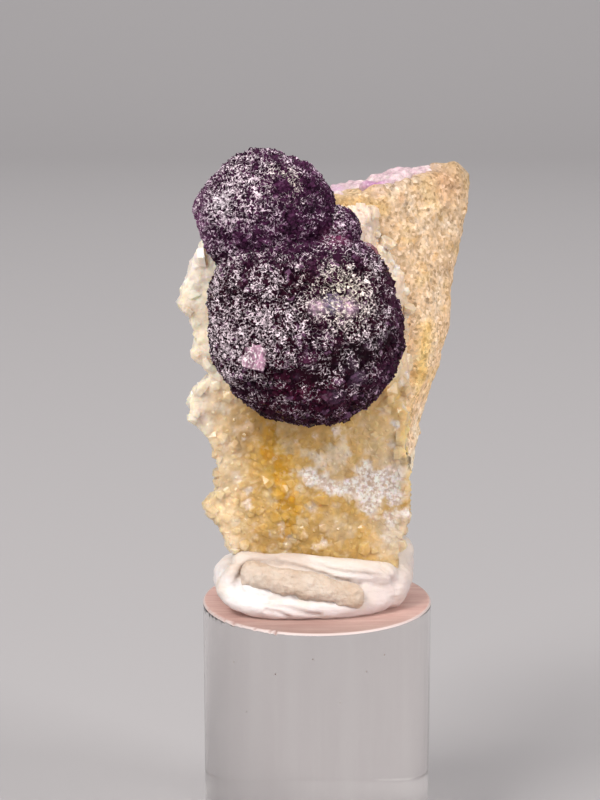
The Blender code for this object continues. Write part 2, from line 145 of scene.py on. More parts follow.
# The white band of tiny crystals, and the patches beside it: share, middle, radius and soft share
SUGAR_BAND = ((-1.2, -4.3, 17.7), (1.2, -4.3, 16.9), (3.0, -4.3, 16.1), (5.0, -4.3, 16.2))
SUGAR_PATCHES = (
    (1.0, (6.0, -4.3, 16.6), 2.3, 0.6), (1.0, (8.6, -4.0, 16.7), 2.9, 0.5),
    (0.8, (5.9, -4.3, 19.1), 1.5, 0.7), (1.0, (6.6, -4.3, 14.2), 1.9, 0.6),
    (1.0, (10.2, -3.5, 14.9), 1.5, 0.6), (0.8, (10.0, -3.8, 12.2), 2.2, 0.7),
)
# The orange stain that runs down the crust from under the big ball, and the honey vein at its right edge
STAIN = (
    (-6.7, -4.5, 25.7), (-5.8, -4.5, 23.3), (-6.1, -4.5, 20.7), (-4.8, -4.5, 19.2), (-4.6, -4.5, 15.6),
    (-3.8, -4.5, 14.1), (-4.0, -4.5, 10.5),
)
VEIN = ((12.8, -1.0, 26.0), (11.0, -2.6, 23.2), (11.3, -2.6, 20.5), (11.5, -2.6, 17.4))
# Two small holes in the crust, painted dark as their shade: middle and radius
HOLE_SHADES = (((-1.9, -4.2, 8.1), 0.75), ((11.5, -3.4, 19.8), 0.9))

# Lilac crust along the matrix's top edge and down its back: middle and radius of each knob
LILAC_KNOBS = (
    ((2.6, 6.6, 52.1), 1.9), ((5.2, 7.8, 52.6), 1.7), ((7.9, 8.9, 53.1), 1.9), ((10.6, 9.8, 53.7), 1.9),
    ((13.2, 11.0, 54.1), 1.7), ((15.4, 12.1, 54.1), 1.4), ((0.2, 9.0, 50.6), 2.0), ((3.8, 10.7, 50.9), 2.3),
    ((7.2, 11.7, 50.9), 2.1), ((10.3, 12.4, 51.5), 2.4), ((13.6, 12.8, 51.9), 2.2), ((16.4, 12.7, 52.2), 1.7),
    ((1.6, 10.7, 47.6), 2.3), ((5.3, 11.6, 47.6), 2.2), ((8.9, 12.0, 48.1), 2.5), ((12.6, 12.2, 48.5), 2.2),
    ((4.0, 10.9, 44.3), 2.0), ((7.4, 11.3, 44.5), 2.3), ((10.9, 11.4, 45.1), 2.0), ((6.2, 10.7, 41.5), 1.8),
    ((2.5, 2.6, 52.9), 0.8), ((6.4, 3.2, 54.0), 0.9), ((7.6, 2.6, 53.9), 0.8), ((8.8, 3.6, 54.2), 0.8),
    ((10.1, 5.0, 54.5), 0.9), ((11.4, 6.4, 54.8), 0.9), ((12.8, 8.0, 55.1), 0.9), ((14.1, 9.4, 55.4), 0.8),
    ((7.6, 4.8, 53.8), 1.0), ((9.2, 5.6, 54.1), 1.1), ((10.8, 6.9, 54.3), 1.1), ((12.4, 8.9, 54.8), 1.1),
    ((8.6, 7.0, 53.7), 1.1), ((5.2, 5.4, 53.3), 0.7),
)

# Heights, and how far the matrix's right edge bulges or is broken back at each
MATRIX_EDGE = (
    (20.0, 22.0, 25.0, 28.0, 30.0, 33.0, 35.0, 38.0, 42.0, 44.0, 48.0, 50.0, 53.5, 56.0),
    (0.0, -0.7, -0.6, -0.2, 0.2, 0.0, -0.4, -0.6, -0.7, 0.0, -0.1, 0.0, 0.6, 1.0),
)

# On the matrix, the brown line under the lilac crust, the pinkish line beside it and the yellow band
MATRIX_BROWN = ((2.0, 0.5, 52.2), (5.4, 0.6, 52.0), (8.2, 0.6, 51.4))
MATRIX_PINKISH = ((7.8, 2.0, 53.6), (10.0, 4.5, 54.4), (12.1, 7.5, 55.2), (15.0, 9.6, 55.9))
MATRIX_YELLOW = (
    (15.0, 1.0, 36.2), (13.9, 1.0, 35.6), (13.3, 0.8, 31.2), (13.9, 0.7, 27.0), (12.2, 0.2, 23.5),
)

# Putty strands: points along each, and half its thickness
PUTTY_STRANDS = (
    (((-10.4, -4.0, 2.3), (0.0, -6.6, 1.9), (9.4, -4.2, 2.2)), 2.3),
    (((-10.0, 3.2, 2.2), (0.0, 5.8, 2.0), (9.8, 3.6, 2.3)), 2.4),
    (((-11.2, -3.6, 3.2), (-11.5, 0.0, 3.4), (-10.8, 3.4, 3.0)), 2.2),
    (((10.0, -3.4, 3.2), (10.5, 0.6, 4.2), (9.9, 4.2, 3.6)), 2.3),
    (((-9.6, -4.2, 5.9), (-1.5, -5.9, 5.9), (8.6, -4.8, 4.6)), 1.8),
    (((-9.0, 5.0, 5.2), (0.0, 6.8, 4.8), (9.4, 5.2, 5.8)), 1.8),
    (((10.0, -1.8, 5.6), (11.1, 1.2, 6.5), (10.4, 4.4, 6.0)), 1.7),
    (((-8.8, -7.2, 3.6), (-4.0, -7.9, 2.7), (2.0, -7.9, 1.9)), 1.35),
    (((-10.7, -6.0, 5.0), (-11.7, -6.2, 3.2), (-9.9, -7.7, 1.9), (-5.7, -8.8, 1.3), (-1.7, -9.0, 1.3),
      (4.0, -8.0, 1.2), (8.2, -6.0, 1.6), (10.2, -3.8, 3.0)), 1.35),
)
# The putty's core as middle and half sizes, and the roll in its front as a strand
PUTTY_CORE = ((0.0, -0.5, 2.9), (10.9, 7.2, 3.6))
PUTTY_ROLL = (((-8.0, -6.8, 5.0), (-2.4, -8.2, 4.3), (4.2, -8.1, 2.8)), 2.05)
# Creases across the putty's front, as x and z of their points, darkened as painted shade
PUTTY_CREASES = (
    ((-9.6, 6.2), (-8.5, 6.9), (-5.7, 7.3), (-1.7, 6.4), (2.3, 4.9), (5.5, 3.8)),
    ((-10.2, 5.0), (-9.2, 6.1), (-7.2, 6.7), (-4.6, 6.8)),
    ((-7.6, 2.4), (-4.2, 2.0), (-1.8, 1.2), (0.4, 0.8)),
    ((-6.6, 1.5), (-4.9, 1.2), (-3.6, 0.6)),
    ((8.2, 6.0), (9.6, 4.6), (10.2, 2.8)),
    ((-1.0, 7.2), (3.4, 5.6), (6.8, 5.1)),
)
# The groove along the roll's lower edge, as x and z of its points, darkened as painted shadow
ROLL_CREASE = ((-8.9, 4.2), (-5.7, 3.45), (-1.5, 2.8), (2.0, 2.1))

ROD_SEED = 7
# Dirt specks just inside the rod's front, as x and z, and how far from the rod's axis they lie
SPECK_REACH = 14.75
ROD_SPECKS = ((-10.6, -5.3), (-5.3, -5.7), (6.1, -5.5), (-0.6, -3.4), (8.4, -3.7), (-9.0, -11.5), (2.8, -9.2))


# Points and meshes


def world(points):
    return np.asarray(points) * MM + LIFT


def link(name, data):
    obj = bpy.data.objects.new(name, data)
    bpy.context.scene.collection.objects.link(obj)
    return obj


def mesh_from(name, points, faces):
    """A mesh of points given in mm."""
    mesh = bpy.data.meshes.new(name)
    mesh.from_pydata(world(points).tolist(), [], faces)
    mesh.update()
    return mesh


def vectors_of(data, name):
    found = np.empty(len(data) * 3, np.float32)
    data.foreach_get(name, found)
    return found.reshape(-1, 3)


def points_of(mesh):
    return (vectors_of(mesh.vertices, "co") - LIFT) / MM


def normals_of(mesh):
    return vectors_of(mesh.vertex_normals, "vector").astype(float)


def set_points(mesh, points):
    mesh.vertices.foreach_set("co", world(points).astype(np.float32).ravel())
    mesh.update()


def move_out(obj, points, normals, reach):
    """Moves each point along its normal."""
    set_points(obj.data, points + normals * reach[:, None])


def store(mesh, name, kind, key, values):
    """Stores values for each vertex, for the material to read."""
    mesh.attributes.new(name, kind, "POINT").data.foreach_set(key, np.asarray(values, np.float32).ravel())


def paint(mesh, name, values):
    """Stores a number or a colour, with or without alpha, for each vertex."""
    if values.ndim == 1:
        store(mesh, name, "FLOAT", "value", values)
        return
    rgba = np.ones((len(values), 4))
    rgba[:, : values.shape[1]] = values
    store(mesh, name, "FLOAT_COLOR", "color", rgba)


def settle(obj):
    graph = bpy.context.evaluated_depsgraph_get()
    made = bpy.data.meshes.new_from_object(obj.evaluated_get(graph), depsgraph=graph)
    obj.modifiers.clear()
    obj.data = made


def voxelise(obj, grid, smoothing):
    """One closed skin of small faces over overlapping shapes, smoothed: its points and normals."""
    remesh = obj.modifiers.new("skin", "REMESH")
    remesh.mode = "VOXEL"
    remesh.voxel_size = grid * MM
    obj.modifiers.new("soften", "SMOOTH").iterations = smoothing
    settle(obj)
    return points_of(obj.data), normals_of(obj.data)


def finish_piece(obj, material, node, smooth=True):
    obj.data.materials.clear()
    obj.data.materials.append(material)
    if smooth:
        obj.data.shade_smooth()
    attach(obj, "root")
    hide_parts(node)


def join_shapes(name, shapes):
    """One mesh of several lists of points and faces."""
    points, faces, offset = [], [], 0
    for shape_points, shape_faces in shapes:
        points.append(np.asarray(shape_points))
        faces.extend([[index + offset for index in face] for face in shape_faces])
        offset += len(shape_points)
    return mesh_from(name, np.vstack(points), faces)


def skin_over(name, shapes, grid, smoothing):
    """An object whose skin lies over all the shapes, with its points and normals."""
    obj = link(name, join_shapes(name, shapes))
    return obj, *voxelise(obj, grid, smoothing)


# Patterns and shapes for arrays of points


def lengths(vectors):
    return np.linalg.norm(vectors, axis=1)


def lumps(points, scale, seed, octaves=3):
    """Fractal noise for each point, about -1 to 1, with lumps of the given size."""
    shift = Vector((seed * 13.7, seed * 7.1, seed * 3.3))
    return np.array([noise.fractal(Vector(p) / scale + shift, 1.0, 2.1, octaves) for p in points])


def near(points, place, radius, soft=0.8):
    """1 close to a point, or to a line through several, fading to 0 over the soft share of the radius."""
    place = np.array(place, float)
    distance = distance_to_line(points, place) if place.ndim > 1 else lengths(points - place)
    return np.clip((1 - distance / radius) / soft, 0, 1)


def distance_to_line(points, line):
    line = np.asarray(line, float)
    best = np.full(len(points), 1e9)
    for first, last in zip(line[:-1], line[1:]):
        along = last - first
        share = np.clip(((points - first) @ along) / (along @ along), 0, 1)[:, None]
        best = np.minimum(best, lengths(points - first - share * along))
    return best


def step(values, low, high):
    share = np.clip((values - low) / (high - low), 0, 1)
    return share * share * (3 - 2 * share)


def mix(first, second, share):
    share = np.clip(share, 0, 1)[:, None]
    return first * (1 - share) + np.asarray(second) * share


def painted(points, base, layers):
    """The base colour at each point, with layers over it.

    A layer is a colour and its share. A spot or a line also has its place, radius and soft share.
    """
    colour = plain(points, base)
    for layer, share, *place in layers:
        colour = mix(colour, layer, share * near(points, *place) if place else share)
    return colour


def plain(points, colour):
    return np.tile(np.array(colour), (len(points), 1))


def smooth_line(line, count):
    """Points along a smooth curve through the given ones."""
    line = np.asarray(line, float)
    padded = np.vstack((2 * line[0] - line[1], line, 2 * line[-1] - line[-2]))
    found = []
    for t in np.linspace(0, len(line) - 1.0001, count):
        i, u = int(t), t - int(t)
        a, b, c, d = padded[i : i + 4]
        found.append(
            0.5 * (2 * b + (c - a) * u + (2 * a - 5 * b + 4 * c - d) * u**2 + (3 * b - a - 3 * c + d) * u**3)
        )
    return np.array(found)


def ball_shape(centre, radii, subdivisions=3):
    bm = bmesh.new()
    bmesh.ops.create_icosphere(bm, subdivisions=subdivisions, radius=1.0)
    points = np.array([vertex.co[:] for vertex in bm.verts]) * radii + np.array(centre)
    faces = [[vertex.index for vertex in face.verts] for face in bm.faces]
    bm.free()
    return points, faces


def tree_of(points):
    """A tree that finds the points nearest to a place."""
    tree = kdtree.KDTree(len(points))
    for index, point in enumerate(points):
        tree.insert(point, index)
    tree.balance()
    return tree


# Crystals: a template placed many times


CUBE_CORNERS = (
    (1, 1, 1), (1, 1, -1), (1, -1, 1), (-1, 1, 1), (1, -1, -1), (-1, 1, -1), (-1, -1, 1), (-1, -1, -1),
)
CUBE_FACES = ((0, 2, 4, 1), (0, 1, 5, 3), (0, 3, 6, 2), (3, 5, 7, 6), (2, 6, 7, 4), (1, 4, 7, 5))
CUBE = (np.array(CUBE_CORNERS, float), np.array(CUBE_FACES))


def quartz_template(point):
    """A six-sided prism of radius 1 from z = -1 to 1 under a point of the given height."""
    angles = np.arange(6) * math.pi / 3
    ring = np.column_stack((np.cos(angles), np.sin(angles)))
    low, high = np.insert(ring, 2, -1.0, axis=1), np.insert(ring * QUARTZ_TAPER, 2, 1.0, axis=1)
    points = np.vstack((low, high, [[0, 0, 1 + point]], [[0, 0, -1]]))
    sides = [(i, (i + 1) % 6) for i in range(6)]
    faces = [[i, j, 6 + j] for i, j in sides]
    faces += [[i, 6 + j, 6 + i] for i, j in sides]
    faces += [[6 + i, 6 + j, 12] for i, j in sides]
    faces += [[j, i, 13] for i, j in sides]
    return points, np.array(faces)


def turns_to(directions, spins):
    """Rotation matrices that bring +Z to each direction, after a spin about it."""
    z = directions / lengths(directions)[:, None]
    helper = np.where(np.abs(z[:, 2:3]) < 0.9, [[0.0, 0.0, 1.0]], [[1.0, 0.0, 0.0]])
    x = np.cross(helper, z)
    x /= lengths(x)[:, None]
    y = np.cross(z, x)
    c, s = np.cos(spins)[:, None], np.sin(spins)[:, None]
    return np.stack((x * c + y * s, y * c - x * s, z), axis=2)


CORNER_UP = np.array(Vector((1, 1, 1)).normalized().rotation_difference(Vector((0, 0, 1))).to_matrix())


def place_many(template, centres, turns, sizes):
    """Points and faces of a template placed at each centre, and which copy each point belongs to."""
    points, faces = template
    placed = np.einsum("nij,nvj->nvi", turns, points[None] * sizes[:, None, :]) + centres[:, None, :]
    offsets = np.arange(len(centres))[:, None, None] * len(points)
    copies = np.repeat(np.arange(len(centres)), len(points))
    return placed.reshape(-1, 3), (faces[None] + offsets).reshape(-1, faces.shape[1]).tolist(), copies


def scatter(mesh, spacing_of, rng, keep):
    """Random points on a mesh with room between them, the normals of their faces and their spacing."""
    mesh.calc_loop_triangles()
    corners = np.empty(len(mesh.loop_triangles) * 3, np.int32)
    mesh.loop_triangles.foreach_get("vertices", corners)
    triangles = points_of(mesh)[corners.reshape(-1, 3)]
    cross = np.cross(triangles[:, 1] - triangles[:, 0], triangles[:, 2] - triangles[:, 0])
    area = lengths(cross) / 2
    middle = triangles.mean(1)
    wanted = keep(middle, cross / (2 * area[:, None] + 1e-12))
    triangles, cross, area, middle = triangles[wanted], cross[wanted], area[wanted], middle[wanted]
    weight = area / spacing_of(middle) ** 2
    count = int(4.0 * weight.sum())
    chosen = rng.choice(len(triangles), count, p=weight / weight.sum())
    a, b = rng.random((2, count, 1))
    a, b = np.where(a + b > 1, 1 - a, a), np.where(a + b > 1, 1 - b, b)
    corner = triangles[chosen]
    points = corner[:, 0] + a * (corner[:, 1] - corner[:, 0]) + b * (corner[:, 2] - corner[:, 0])
    normals = cross[chosen] / (2 * area[chosen][:, None])
    spacing = spacing_of(points)
    tree = tree_of(points)
    free = np.ones(count, bool)
    kept = []
    for index in range(count):
        if free[index]:
            kept.append(index)
            for _, other, _ in tree.find_range(points[index], spacing[index] * 0.8):
                free[other] = False
    return points[kept], normals[kept], spacing[kept]


# Materials


def fill(tree, socket, value):
    """Links a socket to another node's output, or sets it to a plain value."""
    if isinstance(value, bpy.types.NodeSocket):
        tree.links.new(value, socket)
    else:
        socket.default_value = (*value, 1.0) if socket.type == "RGBA" else value


def set_values(tree, node, **values):
    """Sets a node's inputs, whose names are capitalised here, and its other settings."""
    for name, value in values.items():
        if name[0].isupper():
            fill(tree, node.inputs[name.replace("_", " ")], value)
        else:
            setattr(node, name, value)
    return node.outputs


def principled(name, **values):
    """A material with the given values on its shader's own sockets."""
    material = bpy.data.materials.new(name)
    material.use_nodes = True
    tree = material.node_tree
    shader = tree.nodes["Principled BSDF"]
    set_values(tree, shader, **values)
    return material, tree, shader


def add_node(tree, kind, **values):
    return set_values(tree, tree.nodes.new("ShaderNode" + kind), **values)


def own_coordinates(tree):
    return add_node(tree, "TexCoord")["Object"]


def stretched(tree, scale, turn=0.0):
    """Coordinates that draw a pattern out where their scale is small."""
    turned = (0, 0, math.radians(turn))
    return add_node(tree, "Mapping", Scale=scale, Rotation=turned, Vector=own_coordinates(tree))[0]


def noise_value(tree, size, detail=4.0, roughness=0.6, vector=None):
    """Noise with features of about the given size in mm."""
    scale, vector = 1 / (size * MM), vector or own_coordinates(tree)
    return add_node(tree, "TexNoise", Scale=scale, Detail=detail, Roughness=roughness, Vector=vector)["Fac"]


def cells(tree, size, feature="F1", vector=None):
    scale, vector = 1 / (size * MM), vector or own_coordinates(tree)
    return add_node(tree, "TexVoronoi", feature=feature, Scale=scale, Vector=vector)


def attribute(tree, name, output="Color"):
    return add_node(tree, "Attribute", attribute_name=name)[output]


def ramp(tree, source, *stops):
    """Colours or greys at positions along a value."""
    node = tree.nodes.new("ShaderNodeValToRGB")
    elements = node.color_ramp.elements
    while len(elements) < len(stops):
        elements.new(0.5)
    for element, (position, colour) in zip(elements, stops):
        element.position = position
        element.color = (*((colour,) * 3 if isinstance(colour, float) else colour), 1.0)
    return set_values(tree, node, Fac=source)["Color"]


def blend(tree, first, second, share, kind="MIX"):
    """Mixes two colours, each from a node or plain."""
    node = tree.nodes.new("ShaderNodeMix")
    set_values(tree, node, data_type="RGBA", blend_type=kind)
    colours = [socket for socket in node.inputs if socket.type == "RGBA"]
    for socket, value in zip((node.inputs[0], *colours), (share, first, second)):
        fill(tree, socket, value)
    return next(socket for socket in node.outputs if socket.type == "RGBA")


def times(tree, first, second):
    return blend(tree, first, second, 1.0, "MULTIPLY")


def maths(tree, operation, *values, kind="Math"):
    node = tree.nodes.new("ShaderNode" + kind)
    node.operation = operation
    for socket, value in zip(node.inputs, values):
        fill(tree, socket, value)
    return node.outputs[0]


def bump(tree, height, depth, strength, **under):
    """A bump of the given depth in mm, over another bump where one is given."""
    return add_node(tree, "Bump", Strength=strength, Distance=depth * MM, Height=height, **under)[0]


def added_direction(tree, direction, share):
    """The surface's normal with a share of another direction added to it."""
    part = maths(tree, "MULTIPLY", direction, (share,) * 3, kind="VectorMath")
    total = maths(tree, "ADD", add_node(tree, "NewGeometry")["Normal"], part, kind="VectorMath")
    return maths(tree, "NORMALIZE", total, kind="VectorMath")


def facet_normals(tree, size, tilt):
    """Normals that differ from one tiny crystal facet to the next, which makes the surface glitter."""
    centred = maths(tree, "SUBTRACT", cells(tree, size)["Color"], (0.5, 0.5, 0.5), kind="VectorMath")
    return added_direction(tree, centred, tilt)


def broad_normals(tree, share):
    """Facets turned partly to the broad surface under them, as light spreads in half-clear quartz."""
    broad = attribute(tree, "broad", "Vector")
    spaces = {"convert_from": "OBJECT", "convert_to": "WORLD"}
    turned = add_node(tree, "VectorTransform", vector_type="NORMAL", **spaces, Vector=broad)[0]
    return added_direction(tree, turned, share / (1 - share))


def winding_flecks(tree, density):
    """1 along thin winding lines that widen with the density, broken into short flecks."""
    line = noise_value(tree, 0.58, 2.5, 0.6)
    aside = maths(tree, "ABSOLUTE", maths(tree, "SUBTRACT", line, 0.5))
    clusters = maths(tree, "MULTIPLY_ADD", noise_value(tree, 2.0, 3.0), 2.3, -1.170)
    width = maths(tree, "MULTIPLY_ADD", maths(tree, "ADD", density, clusters), 0.088, -0.005)
    lines = maths(tree, "MULTIPLY", maths(tree, "SUBTRACT", width, aside), 90.0)
    breaks = maths(tree, "MULTIPLY_ADD", noise_value(tree, 0.46, 2.0), 9.0, -3.15)
    return add_node(tree, "Clamp", Value=maths(tree, "MINIMUM", lines, breaks))[0]


def fluorite_material():
    material, tree, shader = principled("purple_fluorite", Roughness=0.2, IOR=1.45, Specular_IOR_Level=0.06)
    grain = ramp(tree, noise_value(tree, 0.5), (0.3, 0.5), (0.7, 1.5))
    uneven = ramp(tree, noise_value(tree, 0.5, 2.0), (0.36, 0.38), (0.64, 1.25))
    dark = times(tree, attribute(tree, "tint"), grain)
    # Pale flecks over the dark tint: partly frost, partly painted glints
    frost_and_glints = times(tree, attribute(tree, "frost_and_glints"), uneven)
    colour = blend(tree, dark, frost_and_glints, winding_flecks(tree, attribute(tree, "frost_and_glints", "Alpha")))
    set_values(tree, shader, Base_Color=colour, Normal=facet_normals(tree, 0.26, 0.5))
    return material


def lilac_material():
    material, tree, shader = principled(
        "lilac_fluorite", Roughness=0.3, IOR=1.5, Subsurface_Weight=0.4, Subsurface_Radius=(1.0, 0.6, 0.9),
        Subsurface_Scale=0.8 * MM,
    )
    grain = ramp(tree, noise_value(tree, 0.7), (0.3, 0.8), (0.7, 1.15))
    colour = times(tree, attribute(tree, "tint"), grain)
    set_values(tree, shader, Base_Color=colour, Normal=facet_normals(tree, 0.35, 0.3))
    return material


def quartz_material():
    """Half-clear quartz: light spreads under it, and its facets glint."""
    material, tree, shader = principled(
        "honey_quartz", Roughness=0.4, IOR=1.5, Subsurface_Weight=0.7, Subsurface_Radius=(1.0, 0.72, 0.38),
        Subsurface_Scale=1.3 * MM, Specular_IOR_Level=0.3, Coat_Weight=0.5, Coat_Roughness=0.13, Coat_IOR=1.5,
    )
    grain = ramp(tree, noise_value(tree, 0.7, 3.0), (0.3, 0.88), (0.7, 1.08))
    milky = ramp(tree, noise_value(tree, 1.1, 3.0), (0.55, 0.0), (0.72, 0.3))
    specks = ramp(tree, noise_value(tree, 0.5, 3.0), (0.40, (0.62, 0.46, 0.35)), (0.58, (1.0, 0.93, 0.88)))
    colour = times(tree, attribute(tree, "tint"), grain)
    colour = blend(tree, colour, (0.86, 0.74, 0.58), milky)
    colour = blend(tree, colour, specks, attribute(tree, "sugar", "Fac"))
    set_values(tree, shader, Base_Color=colour, Normal=broad_normals(tree, 0.52))
    return material


def matrix_material():
    """Grains in many shades, with darker seams between lumps of them, small holes painted dark as shade, and
    rust.
    """
    material, tree, shader = principled("tan_matrix", Roughness=0.8, IOR=1.45)
    fine = noise_value(tree, 0.55, 5.0, 0.7)
    grains = cells(tree, 0.42)
    shades = add_node(tree, "SeparateColor", Color=grains["Color"])[0]
    grain_colour = ramp(
        tree, shades, (0.0, (0.62, 0.56, 0.46)), (0.12, (0.80, 0.74, 0.62)), (0.3, (0.97, 0.93, 0.86)),
        (0.6, (1.0, 1.0, 1.0)), (0.8, (1.08, 1.0, 0.88)), (0.93, (1.22, 1.22, 1.25)), (1.0, (1.35, 1.4, 1.5)),
    )
    place = own_coordinates(tree)
    wander = add_node(tree, "TexNoise", Scale=1 / (1.2 * MM), Vector=place)["Color"]
    moved = maths(tree, "MULTIPLY_ADD", wander, (1.4 * MM,) * 3, place, kind="VectorMath")
    seams = ramp(tree, cells(tree, 1.2, "DISTANCE_TO_EDGE", moved)["Distance"], (0.0, 0.88), (0.16, 1.03))
    hole_shade = ramp(tree, noise_value(tree, 0.9, 4.0, 0.65), (0.32, 0.60), (0.45, 1.04))
    shade = times(tree, times(tree, ramp(tree, fine, (0.3, 0.80), (0.72, 1.14)), seams), hole_shade)
    rust = ramp(tree, noise_value(tree, 1.6, 3.0), (0.57, 0.0), (0.68, 0.75))
    rusty = blend(tree, attribute(tree, "tint"), (0.74, 0.42, 0.14), maths(tree, "MULTIPLY", rust, 0.55))
    colour = times(tree, times(tree, rusty, grain_colour), shade)
    normal = bump(tree, fine, 0.14, 0.8, Normal=bump(tree, grains["Distance"], 0.07, 0.5))
    set_values(tree, shader, Base_Color=colour, Normal=normal)
    return material


def putty_material(name, dirt, grit, clean_share):
    material, tree, shader = principled(
        name, Roughness=0.5, IOR=1.45, Subsurface_Weight=0.3, Subsurface_Radius=(1.0, 0.7, 0.55),
        Subsurface_Scale=0.7 * MM,
    )
    smears = ramp(tree, noise_value(tree, 3.4, 4.0), (clean_share, 0.0), (clean_share + 0.3, 1.0))
    base = blend(tree, attribute(tree, "tint"), dirt, smears)
    # Creases darkened as painted shade, and on the roll a dark speck of dirt
    base = blend(tree, base, (0.42, 0.33, 0.28), attribute(tree, "crease_shade_and_speck", "Fac"))
    pleats = noise_value(tree, 0.6, 4.0, 0.65, stretched(tree, (0.22, 1.0, 1.0)))
    gritty = bump(tree, noise_value(tree, 0.6, 4.0, 0.7), grit, 0.9)
    set_values(tree, shader, Base_Color=base, Normal=bump(tree, pleats, 0.20, 0.85, Normal=gritty))
    return material


def acrylic_material(name, roughness):
    """Clear acrylic with the faint lines that run along a drawn rod."""
    material, tree, shader = principled(name, IOR=1.49, Roughness=roughness, Transmission_Weight=1.0)
    lines = noise_value(tree, 1.6, 4.0, 0.6, stretched(tree, (1.0, 1.0, 0.04)))
    tint = ramp(
        tree, lines, (0.40, (0.90, 0.875, 0.865)), (0.60, (0.86, 0.83, 0.82)), (0.72, (0.91, 0.89, 0.88)),
    )
    set_values(tree, shader, Base_Color=tint, Normal=bump(tree, lines, 0.014, 0.8))
    return material


def sanded_material():
    """Acrylic sanded in one direction, half clear and streaky.

    Its rosy tint is partly a painted reflection of warm light from below; it is darker towards the front as
    painted shade, and lighter along the rim as a painted highlight.
    """
    material, tree, shader = principled("sanded_acrylic", IOR=1.49, Roughness=0.45, Transmission_Weight=0.35)
    streaks = noise_value(tree, 0.9, 5.0, 0.7, stretched(tree, (0.10, 1.0, 1.0), -14))
    # Rosy tint, partly a painted reflection of warm light from below
    colour = ramp(tree, streaks, (0.35, (0.74, 0.42, 0.36)), (0.68, (0.96, 0.66, 0.57)))
    # Darker towards the front, as painted shade
    colour = blend(tree, colour, (0.62, 0.62, 0.62), attribute(tree, "front", "Fac"), "MULTIPLY")
    # Lighter along the rim, as a painted highlight
    edge = blend(tree, colour, (0.88, 0.72, 0.68), attribute(tree, "rim", "Fac"))
    set_values(tree, shader, Base_Color=edge, Normal=bump(tree, streaks, 0.12, 0.8))
    return material


# Fluorite


def ball_surface(directions, name, radius):
    """The ball's own radius along each direction: low swellings, two flatter places and the ledge."""
    middle = np.array(BALLS[name][0])
    places = directions * radius + middle
    swelling = 0.30 * lumps(places, 3.4, 1, 2) + 0.28 * lumps(places, 1.3, 2, 2)
    reach = radius + min(1.0, radius / 8) * swelling
    if name == "big" or "shoulder" in name:
        x, y, z = places.T
        below = np.interp(x, *LEDGE) + 0.5 * lumps(places, 2.5, 3, 2) - z
        front = step(-y, 9.0, 12.5)
        reach = reach - 0.75 * front * step(below, -0.2, 0.4) * (1 - step(below, 1.0, 7.5))
    if name == "upper":
        reach = reach - 0.7 * near(places, (-2.4, -7.0, 58.4), 4.5)
        reach = reach - 0.5 * near(places, (-12.2, -7.0, 56.8), 3.0)
    return reach


def depth_in_balls(points, skip=""):
    """How deep each point lies inside the balls; negative outside them all."""
    depth = np.full(len(points), -1e9)
    for name, (middle, radius, _) in BALLS.items():
        if name != skip:
            depth = np.maximum(depth, radius - lengths(points - np.array(middle)))
    return depth


def fluorite_colours(points, rng):
    """Near-black purple, redder low on the big ball and lighter on the upper one."""
    single = rng.random(len(points))
    return painted(points, (0.025, 0.0045, 0.012), (
        ((0.055, 0.015, 0.046), 0.85 * step(points[:, 2], 45.0, 49.0)),
        ((0.080, 0.024, 0.062), 0.5 * np.clip(lumps(points, 4.5, 5) * 1.3, 0, 1)),
        ((0.070, 0.008, 0.028), 0.7, (-2.0, -18.0, 30.5), 7.5, 0.9),
        ((0.17, 0.08, 0.15), np.where(single > 0.94, 0.7, 0)),
        ((0.010, 0.003, 0.009), np.where(single < 0.3, 0.7, 0)),
        ((0.16, 0.03, 0.08), 0.7, (2.0, -10.5, 48.9), 2.6),
        ((0.34, 0.15, 0.17), 0.8, (6.4, -5.5, 46.8), 2.2, 0.5),
        ((0.20, 0.08, 0.17), 0.6, (-13.9, -7.2, 50.5), 4.5),
        ((0.075, 0.022, 0.052), 0.6, (10.0, -10.5, 41.5), 5.0),
        ((0.13, 0.075, 0.13), 0.7, (-0.6, -19.8, 34.8), 1.5, 0.9),
        ((0.13, 0.075, 0.13), 0.7, (2.0, -17.4, 30.9), 1.5, 0.9),
        ((0.13, 0.075, 0.13), 0.7, (4.9, -17.0, 33.0), 1.5, 0.9),
        ((0.30, 0.25, 0.36), 0.8, (1.7, -18.7, 42.6), 1.7, 0.7),
        ((0.56, 0.38, 0.49), 0.85, (-0.2, -19.2, 42.1), 1.4, 0.7),
        ((0.56, 0.38, 0.49), 0.85, (3.5, -18.0, 42.2), 1.9, 0.7),
        ((0.56, 0.38, 0.49), 0.85, (-9.1, -17.6, 38.6), 0.7, 0.7),
    ))


def fluorite_frost_and_glints(points, normals):
    """Colour of the pale flecks and, as alpha, how densely they cover each place: partly frost, partly
    painted glints.
    """
    x, y, z = points.T
    # How far each place faces the key light: the flecks lie thicker there as painted glints
    facing = normals @ np.array([-0.35, -0.62, 0.70])
    density = 0.25 + 0.33 * step(facing, -0.1, 0.95)
    # Fewer flecks under the ledge's front, as painted shade
    below = np.interp(x, *LEDGE) - z
    density -= 0.08 * step(below, -0.8, 1.0) * step(-y, 8.0, 12.0) * step(x, -11.0, -8.0)
    for place, size, more in FROST_AND_GLINT_SPOTS:
        density += more * near(points, place, size)
    density += 0.22 * lumps(points, 2.4, 8, 3)
    colour = painted(points, (0.84, 0.71, 0.77), (
        # More purple on the upper ball where it doesn't face the key light, partly painted shade
        ((0.60, 0.44, 0.57), 0.75 * step(z, 45.5, 49.0) * (1 - step(facing, 0.5, 1.0))),
        ((0.84, 0.76, 0.65), 1.0, (2.6, -17.2, 43.6), 6.5),
        ((0.82, 0.77, 0.64), 0.8, (-4.0, -11.5, 55.6), 3.5),
        ((0.86, 0.76, 0.82), 1.0, (-11.7, -11.6, 53.6), 3.0),
        # Darker where the surface faces away from the key light, as painted shade
        ((0.34, 0.20, 0.30), step(-facing, -0.25, 0.5)),
    ))
    return np.column_stack((colour, np.clip(density, 0.17, 1.0)))


